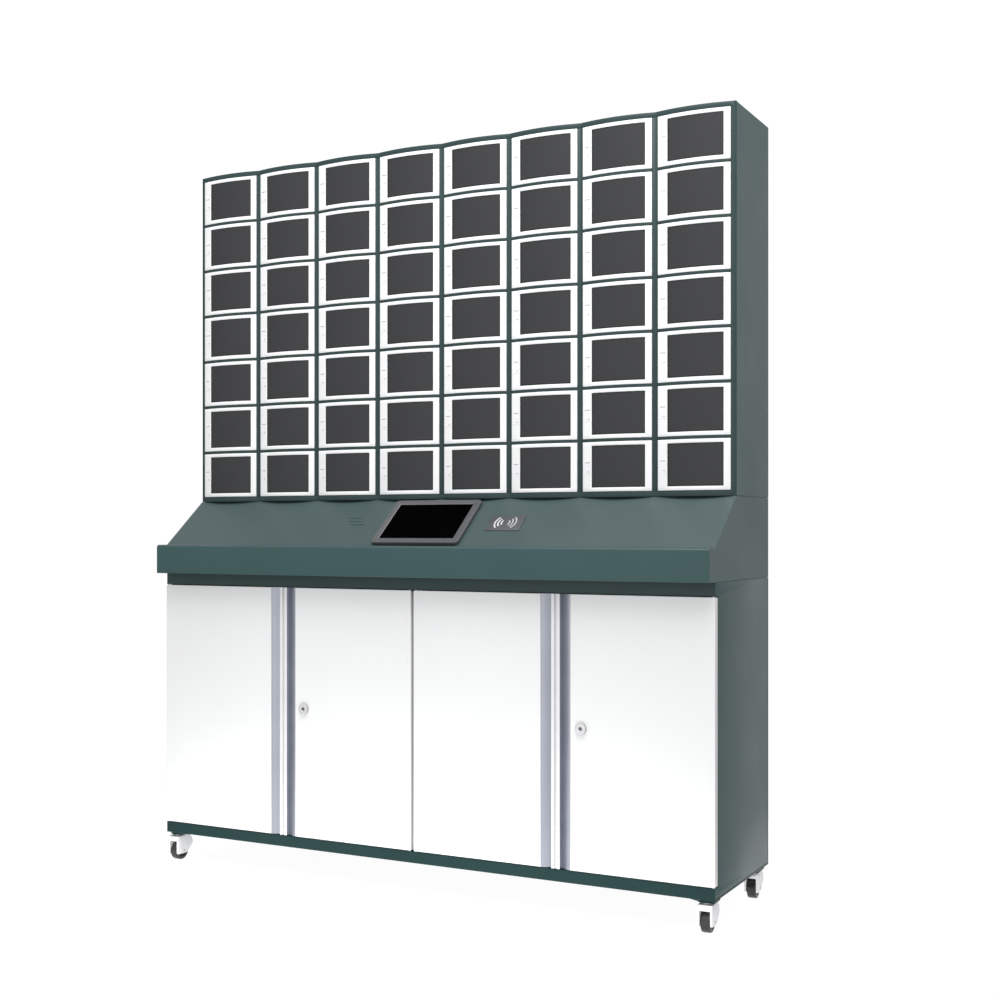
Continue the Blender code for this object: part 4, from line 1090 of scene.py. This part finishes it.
FLOOR_SIZE = (1.9, 4.6)
FLOOR_Y = -1.2
FLOOR_GLOW = 0.95
BACKDROP = 1.02
WORLD_LEAST = 0.30
WORLD_RIGHT = 0.06
WORLD_FRONT = 0.82
WORLD_BACK = 0.45
WORLD_OVERHEAD = 0.70


def make_stage():
    """A pale floor under and in front of the object."""
    bpy.ops.mesh.primitive_plane_add(size=1.0, location=(0, FLOOR_Y, 0))
    floor = bpy.context.object
    floor.scale = (*FLOOR_SIZE, 1)
    floor.name = "floor"
    material, tree, shader, vector = node_material("pale_floor")
    colour = add_ramp(tree, add_noise(tree, vector, 0.6), (0.115, 0.115, 0.115), (0.125, 0.125, 0.125))
    tree.links.new(colour, shader.inputs["Base Color"])
    shader.inputs["Roughness"].default_value = 0.9
    shader.inputs["Emission Color"].default_value = (1, 1, 1, 1)
    shader.inputs["Emission Strength"].default_value = FLOOR_GLOW
    floor.data.materials.append(material)


def add_light(name, position, target, size, watts):
    data = bpy.data.lights.new(name, "AREA")
    data.shape = "RECTANGLE"
    data.size, data.size_y = size
    data.energy = watts
    light = bpy.data.objects.new(name, data)
    light.location = position
    direction = Vector(target) - Vector(position)
    light.rotation_euler = direction.to_track_quat("-Z", "Y").to_euler()
    bpy.context.scene.collection.objects.link(light)
    return light


def make_world():
    """Seen white; as light it is brightest overhead, then in front and behind, and weak at the sides."""
    world = bpy.data.worlds.new("studio")
    world.use_nodes = True
    tree = world.node_tree
    lighting = tree.nodes["Background"]
    seen = tree.nodes.new("ShaderNodeBackground")
    seen.inputs["Strength"].default_value = BACKDROP
    seen.inputs["Color"].default_value = (1, 1, 1, 1)
    lighting.inputs["Color"].default_value = (1, 1, 1, 1)
    split = tree.nodes.new("ShaderNodeSeparateXYZ")
    tree.links.new(tree.nodes.new("ShaderNodeTexCoord").outputs["Generated"], split.inputs["Vector"])

    def calculate(operation, *values):
        node = tree.nodes.new("ShaderNodeMath")
        node.operation = operation
        for socket, value in zip(node.inputs, values):
            if isinstance(value, float):
                socket.default_value = value
            else:
                tree.links.new(value, socket)
        return node.outputs["Value"]

    strength = calculate("MULTIPLY_ADD", split.outputs["X"], WORLD_RIGHT, WORLD_LEAST)
    sides = (("Y", -1.0, WORLD_FRONT), ("Y", 1.0, WORLD_BACK), ("Z", 1.0, WORLD_OVERHEAD))
    for axis, sign, gain in sides:
        facing = calculate("MAXIMUM", calculate("MULTIPLY", split.outputs[axis], sign), 0.0)
        strength = calculate("MULTIPLY_ADD", calculate("POWER", facing, 2.0), gain, strength)
    tree.links.new(strength, lighting.inputs["Strength"])
    mix = tree.nodes.new("ShaderNodeMixShader")
    tree.links.new(tree.nodes.new("ShaderNodeLightPath").outputs["Is Camera Ray"], mix.inputs["Fac"])
    tree.links.new(lighting.outputs["Background"], mix.inputs[1])
    tree.links.new(seen.outputs["Background"], mix.inputs[2])
    tree.links.new(mix.outputs["Shader"], tree.nodes["World Output"].inputs["Surface"])
    bpy.context.scene.world = world


def make_lights():
    """A large soft light overhead, and a low strip that lifts the foot of the storage doors."""
    add_light("top_soft", (0.9, -1.3, 4.1), (0.2, 0, 0.9), (2.4, 1.8), 130)
    low = add_light("low_front", (0, -0.57, 0.03), (0, 0, 0.03), (1.7, 0.04), 3.4)
    low.visible_camera = False
    low.visible_glossy = False


def make_camera():
    data = bpy.data.cameras.new("camera")
    data.lens = 50.42
    data.sensor_width = 36.0
    data.shift_y = 0.0303
    camera = bpy.data.objects.new("camera", data)
    camera.location = (1.8386, -3.2150, 0.9200)
    camera.rotation_euler = (math.pi / 2, 0, math.radians(27.65))
    bpy.context.scene.collection.objects.link(camera)
    bpy.context.scene.camera = camera


make_camera()
make_stage()
make_world()
make_lights()
bpy.context.scene.view_settings.view_transform = "Standard"
paint_nodes()
make_cabinet()
make_uprights()
make_shelves()
make_all_doors()
make_console()
make_screen()
make_reader()
tray_front = make_tray()
make_band(tray_front)
make_side_panels()
make_boards()
make_handles()
make_locks()
make_casters()
make_cell_fittings()
make_screws()
